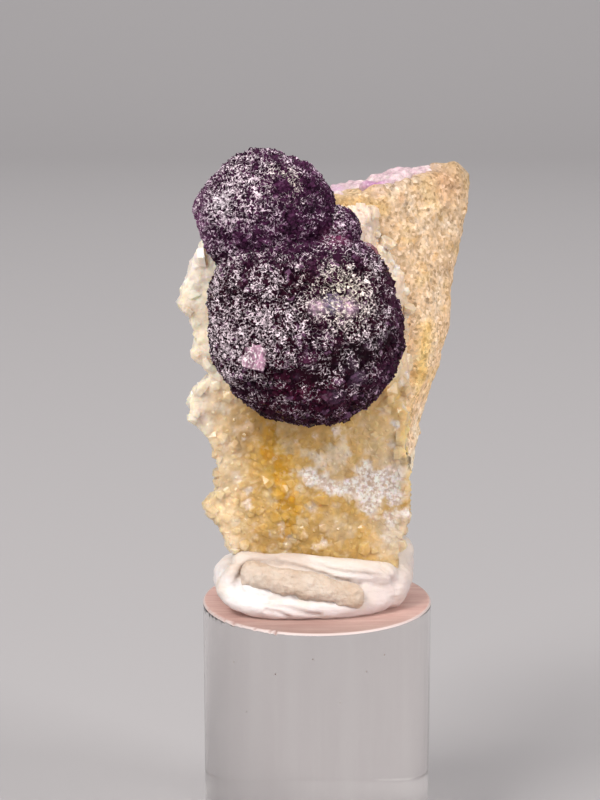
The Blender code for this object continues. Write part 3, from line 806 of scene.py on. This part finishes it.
def cleavage_plate(rng):
    """A thin angular plate that stands a little out of the ball."""
    middle, facing, half_width, half_height = CLEAVAGE
    turn = turns_to(np.array([facing]), np.array([0.0]))[0]
    count = 14
    angle = (np.arange(count) + rng.uniform(-0.25, 0.25, count)) * 2 * math.pi / count
    square = 1 / np.maximum(np.abs(np.cos(angle)), np.abs(np.sin(angle))) ** 0.7
    reach = square * rng.uniform(0.84, 1.04, count)
    ring = np.column_stack((reach * np.cos(angle) * half_height, reach * np.sin(angle) * half_width))
    top, foot = np.insert(ring, 2, 0.16, axis=1), np.insert(ring * 1.12, 2, -0.7, axis=1)
    points = np.vstack((top, foot, [[0, 0, 0.2]])) @ turn.T + np.array(middle)
    sides = [(i, (i + 1) % count) for i in range(count)]
    faces = [[i, j, 2 * count] for i, j in sides]
    faces += [[count + i, count + j, j, i] for i, j in sides]
    faces.append([2 * count - 1 - i for i in range(count)])
    tint = plain(points, (0.52, 0.29, 0.40)) * rng.uniform(0.35, 1.2, len(points))[:, None]
    return points, faces, tint, plain(points, (0.94, 0.82, 0.85, 0.72))


def in_rock(points):
    """Whether a point of the fluorite is buried in the crust or the matrix."""
    x, y, z = points.T
    low = (y > -1.0) & (z < 51.0) & (x > -14.5)
    return low | ((y > 1.6) & (z < 52.0))


def build_fluorite():
    """Every ball as a dark core with cubes standing on their corners all over it."""
    rng = np.random.default_rng(FLUORITE_SEED)
    plate, _, half_width, half_height = CLEAVAGE
    groups = {"big": [], "upper": []}
    for name, (middle, radius, spacing) in BALLS.items():
        group = groups["upper" if name in UPPER_BALLS else "big"]
        centre = np.array(middle)
        count = int(4 * math.pi * radius**2 / spacing**2 * CUBE_CROWDING)
        steps = np.arange(count) + 0.5
        height = 1 - 2 * steps / count
        turn = math.pi * (3 - math.sqrt(5)) * steps
        ring = np.sqrt(1 - height**2)
        directions = np.column_stack((ring * np.cos(turn), ring * np.sin(turn), height))
        directions += rng.normal(0, CUBE_JITTER * spacing / radius, directions.shape)
        directions /= lengths(directions)[:, None]
        evenness, least, most = 5.0, 0.12, spacing * 1.5
        half = rng.gamma(evenness, spacing * CUBE_SIZE / evenness, count).clip(least, most)
        reach = ball_surface(directions, name, radius) - half * CUBE_SINK
        centres = directions * reach[:, None] + centre
        seen = (depth_in_balls(centres, name) < 0.5) & ~in_rock(centres)
        seen &= lengths(centres - np.array(plate)) > 0.92 * (half_width + half_height) / 2
        centres, directions, half = centres[seen], directions[seen], half[seen]
        lean = directions + rng.normal(0, CUBE_LEAN, directions.shape)
        turns = turns_to(lean, rng.uniform(0, 2 * math.pi, len(lean))) @ CORNER_UP
        sizes = half[:, None] * rng.uniform(0.8, 1.2, (len(half), 3))
        points, faces, copies = place_many(CUBE, centres, turns, sizes)
        tint = fluorite_colours(centres, rng)[copies]
        group.append((points, faces, tint, fluorite_frost_and_glints(centres, directions)[copies]))
        # The core lies a little under the cubes, and darker, as painted shade between them
        unit, core_faces = ball_shape((0, 0, 0), 1.0, 5 if radius > 5 else 3)
        reach = ball_surface(unit, name, radius) - 0.35 * spacing
        skin = unit * reach[:, None] + centre
        group.append((skin, core_faces, fluorite_colours(skin, rng) * 0.5, fluorite_frost_and_glints(skin, unit)))
    groups["big"].append(cleavage_plate(rng))
    material = fluorite_material()
    for name, chunks in groups.items():
        mesh = join_shapes(f"fluorite_{name}", [chunk[:2] for chunk in chunks])
        paint(mesh, "tint", np.vstack([chunk[2] for chunk in chunks]))
        paint(mesh, "frost_and_glints", np.vstack([chunk[3] for chunk in chunks]))
        obj = link(mesh.name, mesh)
        finish_piece(obj, material, "purple_fluorite", smooth=False)


def build_lilac():
    """Knobs grown together in one crust along the matrix's top edge and down its back."""
    shapes = [ball_shape((x, y, z - 0.5), radius + 0.5) for (x, y, z), radius in LILAC_KNOBS]
    obj, points, normals = skin_over("lilac_crust", shapes, grid=0.32, smoothing=14)
    move_out(obj, points, normals, 0.42 * lumps(points, 3.0, 3) + 0.22 * lumps(points, 0.9, 4, 2))
    paint(obj.data, "tint", painted(points, (0.54, 0.39, 0.42), (
        ((0.64, 0.50, 0.50), np.clip(0.5 + 1.5 * lumps(points, 3.0, 6), 0, 1)),
        ((0.40, 0.15, 0.33), 0.9, (7.3, 2.6, 54.4), 2.2),
        ((0.50, 0.30, 0.46), 0.7, (2.3, 5.2, 53.0), 2.0),
        ((0.30, 0.13, 0.34), step(lumps(points, 2.6, 9), 0.12, 0.5) * step(-points[:, 2], -50, -44)),
    )))
    finish_piece(obj, lilac_material(), "lilac_fluorite_crust", smooth=False)


# Quartz druse


def left_fringe(points):
    """1 on the creamy lumps along the crust's left edge."""
    x, _, z = points.T
    start = np.interp(z, (20.0, 29.0, 32.0), (12.3, 12.3, 7.5))
    return step(-x - start, 0.0, 2.5) * step(z, 20.0, 24.0)


def right_strip(points):
    """1 on the smooth greyish quartz between the balls and the matrix."""
    x, _, z = points.T
    return step(x, 3.0, 6.0) * step(z, 28.0, 33.0)


def druse_spacing(points):
    """How far apart the quartz crystals sit."""
    spacing = 0.95 * np.exp(0.55 * lumps(points, 1.8, 19, 2))
    spacing *= 1 + 0.15 * left_fringe(points) + 0.10 * right_strip(points)
    return spacing * (1 - 0.45 * sugary(points))


def sugary(points):
    """How much each place belongs to the white patches of tiny crystals."""
    patches = near(points, SUGAR_BAND, 1.5, 0.7)
    for share, place, radius, soft in SUGAR_PATCHES:
        patches += share * near(points, place, radius, soft)
    return 0.88 * step(patches + 0.7 * lumps(points, 1.1, 12, 3), 0.2, 0.95)


def druse_colours(points, rng):
    """Honey and cream, greyer beside the balls, with the orange stain and the white patches.

    Also painted: shadow under the big ball and beside the left lump, shade in two small holes, and light at
    the lower right.
    """
    count = len(points)
    x, _, z = points.T
    rim = 1 - distance_to_line(points[:, [0, 2]], CRUST_RIM) / 1.5
    stain = near(points, STAIN, 2.5, 0.9)
    colour = painted(points, (0.62, 0.38, 0.11), (
        ((0.68, 0.47, 0.22), step(lumps(points, 3.5, 21), -0.1, 0.5)),
        # Lighter honey at the lower right: partly the crust's own colour, partly painted light against the
        # big ball's shadow
        ((0.80, 0.58, 0.31), 0.8, (8.5, -4.0, 22.6), 5.5),
        ((0.80, 0.61, 0.38), 0.85 * step(-x, 7.5, 12.0)),
        ((0.95, 0.81, 0.65), 0.95 * left_fringe(points)),
        ((0.92, 0.84, 0.77), 0.8, (-15.4, -3.0, 45.5), 4.5),
        ((0.86, 0.71, 0.55), 0.8, (-12.2, -3.8, 7.6), 3.2),
        ((0.86, 0.68, 0.42), 0.9 * step(x, 4.5, 7.5) * step(z, 27.0, 32.0)),
        ((0.81, 0.67, 0.57), 0.9 * step(x, 2.5, 5.5) * step(z, 34.0, 40.0)),
        ((0.78, 0.58, 0.39), 0.8 * np.clip(2 * rim, 0, 1)),
        ((0.62, 0.49, 0.41), 0.8, (6.3, -2.5, 51.2), 3.2, 0.7),
        ((0.58, 0.34, 0.03), stain * np.clip(0.7 + 1.2 * lumps(points, 1.5, 23), 0, 1)),
        ((0.60, 0.30, 0.004), step(stain + 0.5 * lumps(points, 1.2, 24), 0.45, 0.9)),
        # Darker ochre under the big ball: partly stain, partly painted shadow
        ((0.52, 0.29, 0.06), 0.6, (-2.0, -3.0, 25.5), 5.5, 0.9),
        # Darker brown right of the left lump, as painted shadow
        ((0.47, 0.27, 0.08), 0.85, (-9.0, -3.8, 23.8), 3.8),
        ((0.76, 0.63, 0.49), 0.8, (9.8, -4.0, 9.5), 4.2),
        ((0.76, 0.63, 0.49), 0.6, (10.0, -4.0, 18.5), 4.5),
        ((0.88, 0.78, 0.72), sugary(points)),
        ((0.66, 0.37, 0.07), 0.5, (6.9, -4.2, 9.6), 1.6),
        ((0.95, 0.66, 0.24), 1.0, VEIN, 1.9),
        ((0.82, 0.68, 0.50), 0.9, (0.1, -4.4, 19.6), 1.5, 0.4),
        ((0.80, 0.65, 0.46), 0.9, (2.5, -4.4, 20.5), 2.0, 0.4),
    ))
    low = step(-z, -15.0, -8.0) * step(x, -10.0, -6.0) * (1 - step(x, 3.0, 6.0))
    colour *= (1 - 0.20 * low)[:, None]
    single = rng.normal(1.0, 0.065, count)[:, None] * rng.normal(1.0, 0.008, (count, 3))
    clear = np.where(rng.random(count) > 0.92, 0.5, 0) * (1 - np.clip(2 * stain, 0, 1))
    colour = mix(colour, (0.82, 0.70, 0.55), clear)
    # Painted shade of the two small holes
    for place, size in HOLE_SHADES:
        colour = mix(colour, (0.06, 0.035, 0.015), near(points, place, size, 0.3))
    return np.clip(colour * single, 0.01, 0.95)


def groups_apart(centres, reach):
    """A number for each shape, such that no two shapes with the same number touch."""
    tree = tree_of(centres)
    widest = reach.max()
    numbers = np.full(len(centres), -1)
    for index, centre in enumerate(centres):
        beside = tree.find_range(centre, reach[index] + widest)
        taken = {numbers[other] for _, other, gap in beside if gap < reach[index] + reach[other]}
        numbers[index] = next(number for number in range(len(centres)) if number not in taken)
    return numbers


def unite(obj, templates, kinds, centres, turns, sizes, reach):
    """Grows crystals of one or more templates into a base, as one closed skin with sharp facets."""
    groups = groups_apart(centres, reach)
    helpers = []
    for number in range(groups.max() + 1):
        shapes = []
        for kind, template in enumerate(templates):
            chosen = (groups == number) & (kinds == kind)
            if chosen.any():
                shapes.append(place_many(template, centres[chosen], turns[chosen], sizes[chosen])[:2])
        helper = link("crystals", join_shapes("crystals", shapes))
        union = obj.modifiers.new("union", "BOOLEAN")
        union.operation = "UNION"
        union.solver = "MANIFOLD"
        union.object = helper
        helpers.append(helper)
    settle(obj)
    for helper in helpers:
        bpy.data.objects.remove(helper)


def nearest_two(points, centres):
    """Which centre is nearest to each point, and how much farther the next one is."""
    tree = tree_of(centres)
    found = [tree.find_n(point, 2) for point in points]
    first = np.array([pair[0][1] for pair in found])
    gap = np.array([pair[1][2] - pair[0][2] for pair in found])
    return first, gap


def crust_slab():
    """The lumpy crust without its crystals, with rounded edges: the object, its points and normals."""
    outline = np.array(CRUST_OUTLINE)
    count = len(outline)
    sheets = np.vstack([np.insert(outline, 1, depth, axis=1) for depth in (CRUST_FRONT, CRUST_BACK)])
    faces = [list(range(count))[::-1], list(range(count, 2 * count))]
    faces += [[i, (i + 1) % count, count + (i + 1) % count, count + i] for i in range(count)]
    obj, points, _ = skin_over("quartz_crust", [(sheets, faces)], grid=0.37, smoothing=5)
    x, y, _ = points.T
    across = points[:, [0, 2]]
    y += (-0.55 - y).clip(0) * np.clip(1 - distance_to_line(across, CRUST_RIM) / 2.8, 0, 1)
    inside = np.clip(distance_to_line(across, np.vstack((outline, outline[:1]))) / 3.0, 0, 1)
    overhang = step(-x, 10.0, 12.5) * (1 - np.sqrt(1 - (1 - inside) ** 2))
    y -= (y + 2.4).clip(0) * 0.75 * overhang
    set_points(obj.data, points)
    points, normals = points_of(obj.data), normals_of(obj.data)
    fine = 0.16 + 0.10 * left_fringe(points)
    relief = 0.28 * lumps(points, 3.4, 14, 2) + fine * lumps(points, 1.5, 15, 2)
    relief += 0.05 * lumps(points, 0.8, 16, 2)
    move_out(obj, points, normals, relief * (normals[:, 1] < 0.6))
    return obj, points_of(obj.data), normals_of(obj.data)


def build_druse():
    """A crust of quartz crystals grown into one another, with white patches of tiny points."""
    rng = np.random.default_rng(DRUSE_SEED)
    obj, base_points, base_normals = crust_slab()

    def outward(places, faces):
        return (faces[:, 1] < 0.35) & (depth_in_balls(places) < 1.2) & (places[:, 2] > 2.9)

    centres, normals, spacing = scatter(obj.data, druse_spacing, rng, outward)
    front = base_normals[:, 1] < -0.3
    across = base_points[front][:, [0, 2]]
    chosen = [np.argmin(lengths(across - place)) for place in CLEAR_POINTS]
    centres = np.vstack((centres, base_points[front][chosen]))
    normals = np.vstack((normals, base_normals[front][chosen]))
    clear = len(CLEAR_POINTS)
    spacing = np.append(spacing, np.full(clear, 0.7))
    fringe, strip = left_fringe(centres), right_strip(centres)
    lean = normals + rng.normal(0, 0.30, normals.shape) * (1 + 0.2 * strip - 0.3 * fringe)[:, None]
    turns = turns_to(lean, rng.uniform(0, 2 * math.pi, len(lean)))
    radius = spacing * 0.95 * rng.uniform(0.65, 1.25, len(spacing))
    length = radius * rng.uniform(0.30, 0.42, len(radius))
    sizes = np.column_stack((radius * rng.uniform(0.75, 1.2, len(radius)), radius, length))
    kinds = rng.integers(0, 3, len(centres))
    proud = spacing * rng.uniform(0.12, 0.34, len(spacing)) * (1 - 0.55 * fringe)
    proud[-clear:] = rng.uniform(0.3, 0.55, clear)
    depth = length * (1 + np.array(QUARTZ_POINTS)[kinds]) - proud
    middles = centres - turns[:, :, 2] * depth[:, None]
    templates = [quartz_template(point) for point in QUARTZ_POINTS]
    unite(obj, templates, kinds, middles, turns, sizes, reach=1.3 * radius)
    points = points_of(obj.data)
    colours = druse_colours(centres, rng)
    colours[-clear:] = (0.80, 0.71, 0.64)
    first, gap = nearest_two(points, centres)
    close = np.exp(-lengths(points - centres[first]) / spacing[first])[:, None]
    tint = np.where(close > 0.2, colours[first], druse_colours(points, rng))
    # Darker where two crystals meet, as painted shade in the valleys between them
    tint = tint * (1 - 0.08 * (1 - step(gap / spacing[first], 0.0, 0.3)))[:, None]
    paint(obj.data, "tint", tint)
    paint(obj.data, "sugar", sugary(points))
    nearest, _ = nearest_two(points, base_points)
    store(obj.data, "broad", "FLOAT_VECTOR", "vector", base_normals[nearest])
    finish_piece(obj, quartz_material(), "quartz_druse", smooth=False)


# Matrix


def build_matrix():
    """The broken rock behind the crust, with its granular skin."""
    obj = link("matrix_skin", frame["nodes"]["matrix_rock"].data.copy())
    points, normals = voxelise(obj, grid=0.34, smoothing=5)
    relief = 0.22 * lumps(points, 2.6, 31, 3) + 0.14 * lumps(points, 0.9, 32, 2)
    pits = np.clip(-lumps(points, 1.3, 33, 2) - 0.25, 0, 1)
    broken = np.clip(0.9 * normals[:, 1] - normals[:, 0], 0, 1) * step(points[:, 2], 8.0, 14.0)
    relief += 0.7 * broken * lumps(points, 6.5, 36, 3)
    points = points + normals * (relief - 0.45 * pits)[:, None]
    x, y, z = points.T
    edge = np.interp(z, (15, 22, 30, 38, 45, 55), (12.3, 13.3, 16.0, 17.8, 18.6, 20.0))
    x += np.interp(z, *MATRIX_EDGE) * step(x - edge, -4.0, -1.0)
    z += step(z, 45.0, 54.5) * (0.5 * step(x, 13.0, 16.5) - 2.0 * step(x, 17.8, 20.8))
    set_points(obj.data, points)
    colour = painted(points, (0.71, 0.51, 0.335), (
        ((0.75, 0.58, 0.42), step(lumps(points, 4.0, 34), 0.0, 0.5)),
        ((0.70, 0.50, 0.26), 0.6 * step(lumps(points, 3.0, 35), 0.1, 0.5)),
        ((0.56, 0.37, 0.15), 0.75, MATRIX_BROWN, 1.6, 0.7),
        ((0.68, 0.30, 0.10), 0.75, (10.3, 3.0, 52.5), 1.3),
        ((0.64, 0.36, 0.20), 0.75, (17.3, 8.0, 54.5), 4.2),
        ((0.56, 0.41, 0.37), 0.8, MATRIX_PINKISH, 1.7),
        ((0.80, 0.51, 0.17), 0.8, MATRIX_YELLOW, 1.6),
        ((0.86, 0.76, 0.66), 0.7 * step(-z, -24.0, -12.0) * step(x, 10.0, 11.5)),
        ((0.66, 0.50, 0.34), 0.5 * step(y, 6.0, 12.0)),
    ))
    lit = 1 + 0.28 * step(-z, -45.0, -31.0) * step(x, 8.0, 11.0)
    lit -= 0.26 * step(normals[:, 2], 0.2, 0.7) * step(z, 49.0, 51.5)
    # Colour darkened in the pits, as painted shade
    paint(obj.data, "tint", np.clip(colour * (lit * (1 - 0.25 * pits))[:, None], 0, 0.93))
    finish_piece(obj, matrix_material(), "matrix_rock")


# Putty


def build_putty_lump():
    """Kneaded strands pressed into one lump round the specimen's foot."""
    shapes = [ball_shape(*PUTTY_CORE)]
    for line, radius in PUTTY_STRANDS:
        shapes += [ball_shape(point, radius, 2) for point in smooth_line(line, 14 * (len(line) - 1))]
    obj, points, normals = skin_over("putty_lump", shapes, grid=0.26, smoothing=7)
    wrinkles = 0.20 * lumps(points * (0.5, 1, 1), 2.2, 41, 3)
    wrinkles += 0.09 * lumps(points * (0.3, 1, 1), 0.75, 42, 2)
    points = points + normals * wrinkles[:, None]
    front = step(-points[:, 1], 1.0, 4.0)
    crease_shade_and_speck = np.zeros(len(points))
    for number, line in enumerate(PUTTY_CREASES):
        distance = distance_to_line(points[:, [0, 2]] + 0.12 * lumps(points, 1.2, 50, 2)[:, None], line)
        groove = front * np.exp(-((distance / 0.27) ** 2))
        points = points - normals * (0.32 * groove)[:, None]
        crease_shade_and_speck = np.maximum(crease_shade_and_speck, groove * (0.6 if number < 2 else 0.14))
    x, _, z = points.T
    z[:] = np.maximum(z, 0.03)
    set_points(obj.data, points)
    # Painted shade in the creases
    paint(obj.data, "crease_shade_and_speck", crease_shade_and_speck)
    shadow = front * near(points[:, [0, 2]], ((-10.2, 5.6), (-7.4, 7.2), (-2.5, 7.0)), 1.9)
    paint(obj.data, "tint", painted(points, (0.80, 0.74, 0.72), (
        ((0.66, 0.56, 0.53), step(x, 2.0, 8.0)),
        ((0.67, 0.56, 0.55), 0.7 * step(-z, -2.4, -0.8)),
        ((0.74, 0.66, 0.58), 0.7 * step(z, 4.6, 6.4)),
        ((0.88, 0.83, 0.82), 1.0, (-9.0, -7.5, 3.0), 3.6, 0.7),
        ((0.62, 0.50, 0.42), 0.8 * shadow),
        ((0.66, 0.56, 0.48), 0.7, (10.9, -3.0, 5.5), 3.0),
    )))
    material = putty_material("white_putty", (0.70, 0.59, 0.50), 0.05, 0.50)
    finish_piece(obj, material, "mounting_putty")


def build_putty_roll():
    """A rolled, dirtier bit folded into the lump's front."""
    line, radius = PUTTY_ROLL
    beads = 40
    radii = radius * (1.0 - 0.12 * np.arange(beads) / beads)
    shapes = [ball_shape(point, size, 2) for point, size in zip(smooth_line(line, beads), radii)]
    obj, points, normals = skin_over("putty_roll", shapes, grid=0.22, smoothing=4)
    relief = 0.34 * lumps(points, 2.0, 44, 3) + 0.16 * lumps(points, 0.7, 45, 2)
    distance = distance_to_line(points[:, [0, 2]], ROLL_CREASE)
    groove = np.exp(-((distance / 0.3) ** 2)) * step(-points[:, 1], 8.0, 9.5)
    move_out(obj, points, normals, relief - 0.25 * groove)
    speck = near(points, (2.0, -10.0, 2.2), 0.45, 0.4)
    # Painted shadow in the groove, and a dark speck of dirt
    paint(obj.data, "crease_shade_and_speck", np.maximum(groove * 0.3, speck))
    paint(obj.data, "tint", plain(points, (0.68, 0.565, 0.47)))
    material = putty_material("cream_putty", (0.58, 0.44, 0.33), 0.24, 0.42)
    finish_piece(obj, material, "mounting_putty")


# Stand


def rod_shape(bottom):
    """Points and faces of the rod with its chips and specks, and 1 for each of its sanded points."""
    rng = np.random.default_rng(ROD_SEED)
    sides = 256
    turn = np.arange(sides) * 2 * math.pi / sides
    around = np.degrees(turn)
    chipped = step(around, 188, 200) * (1 - step(around, 246, 262))
    chips = chipped * np.clip(rng.gamma(0.9, 0.16, sides), 0, 0.55)
    radius = STAND_RADIUS
    # Each ring's radius and height, whether it is sanded, and how far the chips bite inwards and down
    rings = np.array((
        (radius - 0.3, bottom, 0, 0, 0), (radius, bottom + 0.3, 0, 0, 0), (radius, -12.0, 0, 0, 0),
        (radius, -1.2, 0, 0, 0), (radius, -0.55, 0, 0, 0), (radius, -0.28, 1, 0.5, 0.7),
        (radius - 0.12, -0.08, 1, 0.5, 0.35), (radius - 0.3, 0.0, 1, 0.5, 0), (radius - 0.5, 0.0, 1, 0, 0),
        (10.0, 0.0, 1, 0, 0), (5.0, 0.0, 1, 0, 0),
    ))
    size, height, _, bite, drop = rings.T[:, :, None]
    reach = size - bite * chips
    rows = np.stack((reach * np.cos(turn), reach * np.sin(turn), height - drop * chips), axis=2)
    points = np.vstack((rows.reshape(-1, 3), [[0, 0, bottom], [0, 0, 0]]))
    sanded = np.append(np.repeat(rings[:, 2], sides), (0, 1))
    pairs = [(i, (i + 1) % sides) for i in range(sides)]
    last = (len(rings) - 1) * sides
    low, top = len(points) - 2, len(points) - 1
    faces = [[k + i, k + j, k + sides + j, k + sides + i] for k in range(0, last, sides) for i, j in pairs]
    faces += [[j, i, low] for i, j in pairs]
    faces += [[last + i, last + j, top] for i, j in pairs]
    for x, z in ROD_SPECKS:
        place = (x, -math.sqrt(SPECK_REACH**2 - x * x), z)
        speck, speck_faces = ball_shape(place, rng.uniform(0.07, 0.12, 3), 1)
        faces += [[index + len(points) for index in face] for face in speck_faces]
        points = np.vstack((points, speck))
        sanded = np.append(sanded, np.ones(len(speck)))
    return points, faces, sanded


def build_stand():
    """A length of clear rod with a sanded top, a bevelled rim and saw chips at its left front."""
    # A hair above the floor, so that light reflects inside the rod's end
    bottom = STAND_BOTTOM + 0.04
    points, faces, sanded = rod_shape(bottom)
    mesh = mesh_from("acrylic_rod", points, faces)
    across = lengths(points[:, :2])
    # The rim's ring, for the top's painted highlight
    paint(mesh, "rim", step(across, STAND_RADIUS - 0.3, STAND_RADIUS - 0.15))
    # How far towards the front, for the top's painted shade
    paint(mesh, "front", step(-points[:, 1], 5.0, 14.0))
    obj = link("acrylic_rod", mesh)
    finish_piece(obj, acrylic_material("clear_acrylic", 0.03), "acrylic_stand")
    mesh.materials.append(sanded_material())
    mesh.materials.append(acrylic_material("sawn_acrylic", 0.3))
    for face in mesh.polygons:
        corners = list(face.vertices)
        sawn = (points[corners, 2] < bottom + 0.1).all()
        face.material_index = 2 if sawn else int(sanded[corners].all())
    mesh.set_sharp_from_angle(angle=math.radians(40))


# Stage, lights and camera


def build_stage():
    """A pale floor that curves up into a backdrop behind the specimen."""
    half_width, bend = 3.5, 12
    profile = [(-3.5, 0.0), (0.9, 0.0)]
    for index in range(1, bend + 1):
        angle = math.pi / 2 * index / bend
        profile.append((0.9 + 0.5 * math.sin(angle), 0.5 - 0.5 * math.cos(angle)))
    profile.append((1.4, 2.2))
    points = [(x, y, z) for y, z in profile for x in (-half_width, half_width)]
    faces = [(2 * i, 2 * i + 1, 2 * i + 3, 2 * i + 2) for i in range(len(profile) - 1)]
    mesh = bpy.data.meshes.new("studio_floor")
    mesh.from_pydata(points, [], faces)
    mesh.shade_smooth()
    mesh.materials.append(principled("studio_floor", Roughness=0.9, Base_Color=(0.38, 0.365, 0.37))[0])
    link("studio_floor", mesh)


def add_light(name, place, width, height, energy, colour=(1, 1, 1), target=(0, -0.005, 0.07)):
    """A soft box that faces the specimen or another target."""
    data = bpy.data.lights.new(name, "AREA")
    data.shape = "RECTANGLE"
    data.size = width
    data.size_y = height
    data.energy = energy
    data.color = colour
    light = link(name, data)
    light.location = place
    towards = Vector(target) - Vector(place)
    light.rotation_euler = towards.to_track_quat("-Z", "Y").to_euler()


def build_lights():
    add_light("key", (-0.45, -0.50, 0.80), 0.42, 0.34, 8.1, (1.0, 0.975, 0.95))
    add_light("right", (0.70, -0.45, 0.50), 0.3, 0.4, 4.3, (1.0, 0.98, 0.97))
    add_light("front", (-0.15, -0.80, 0.30), 0.5, 0.4, 1.1, (1.0, 0.985, 0.97))
    add_light("top", (0.05, 0.15, 0.95), 0.6, 0.5, 3.2)
    add_light("backdrop", (0.0, 0.5, 0.9), 1.6, 0.3, 5.0, target=(0.0, 1.4, 0.5))
    world_light = bpy.data.worlds.new("studio")
    world_light.use_nodes = True
    background = world_light.node_tree.nodes["Background"]
    background.inputs["Color"].default_value = (0.96, 0.94, 0.95, 1.0)
    background.inputs["Strength"].default_value = 0.40
    bpy.context.scene.world = world_light


def build_camera():
    forward = Vector((0, math.cos(CAMERA_TILT), -math.sin(CAMERA_TILT)))
    upward = Vector((0, math.sin(CAMERA_TILT), math.cos(CAMERA_TILT)))
    rightward = Vector((1, 0, 0))
    place = Vector(LIFT) + MM * (upward * CAMERA_RISE - forward * CAMERA_DISTANCE - rightward * CAMERA_RIGHT)
    data = bpy.data.cameras.new("camera")
    data.lens = CAMERA_LENS
    data.sensor_width = 36.0
    data.clip_start = 0.01
    camera = link("camera", data)
    turned = Matrix((rightward, upward, -forward)).transposed().to_4x4()
    camera.matrix_world = Matrix.Translation(place) @ turned
    bpy.context.scene.camera = camera


build_camera()
build_stage()
build_lights()
build_stand()
build_putty_lump()
build_putty_roll()
build_matrix()
build_druse()
build_lilac()
build_fluorite()
bpy.context.scene.view_settings.view_transform = "Standard"
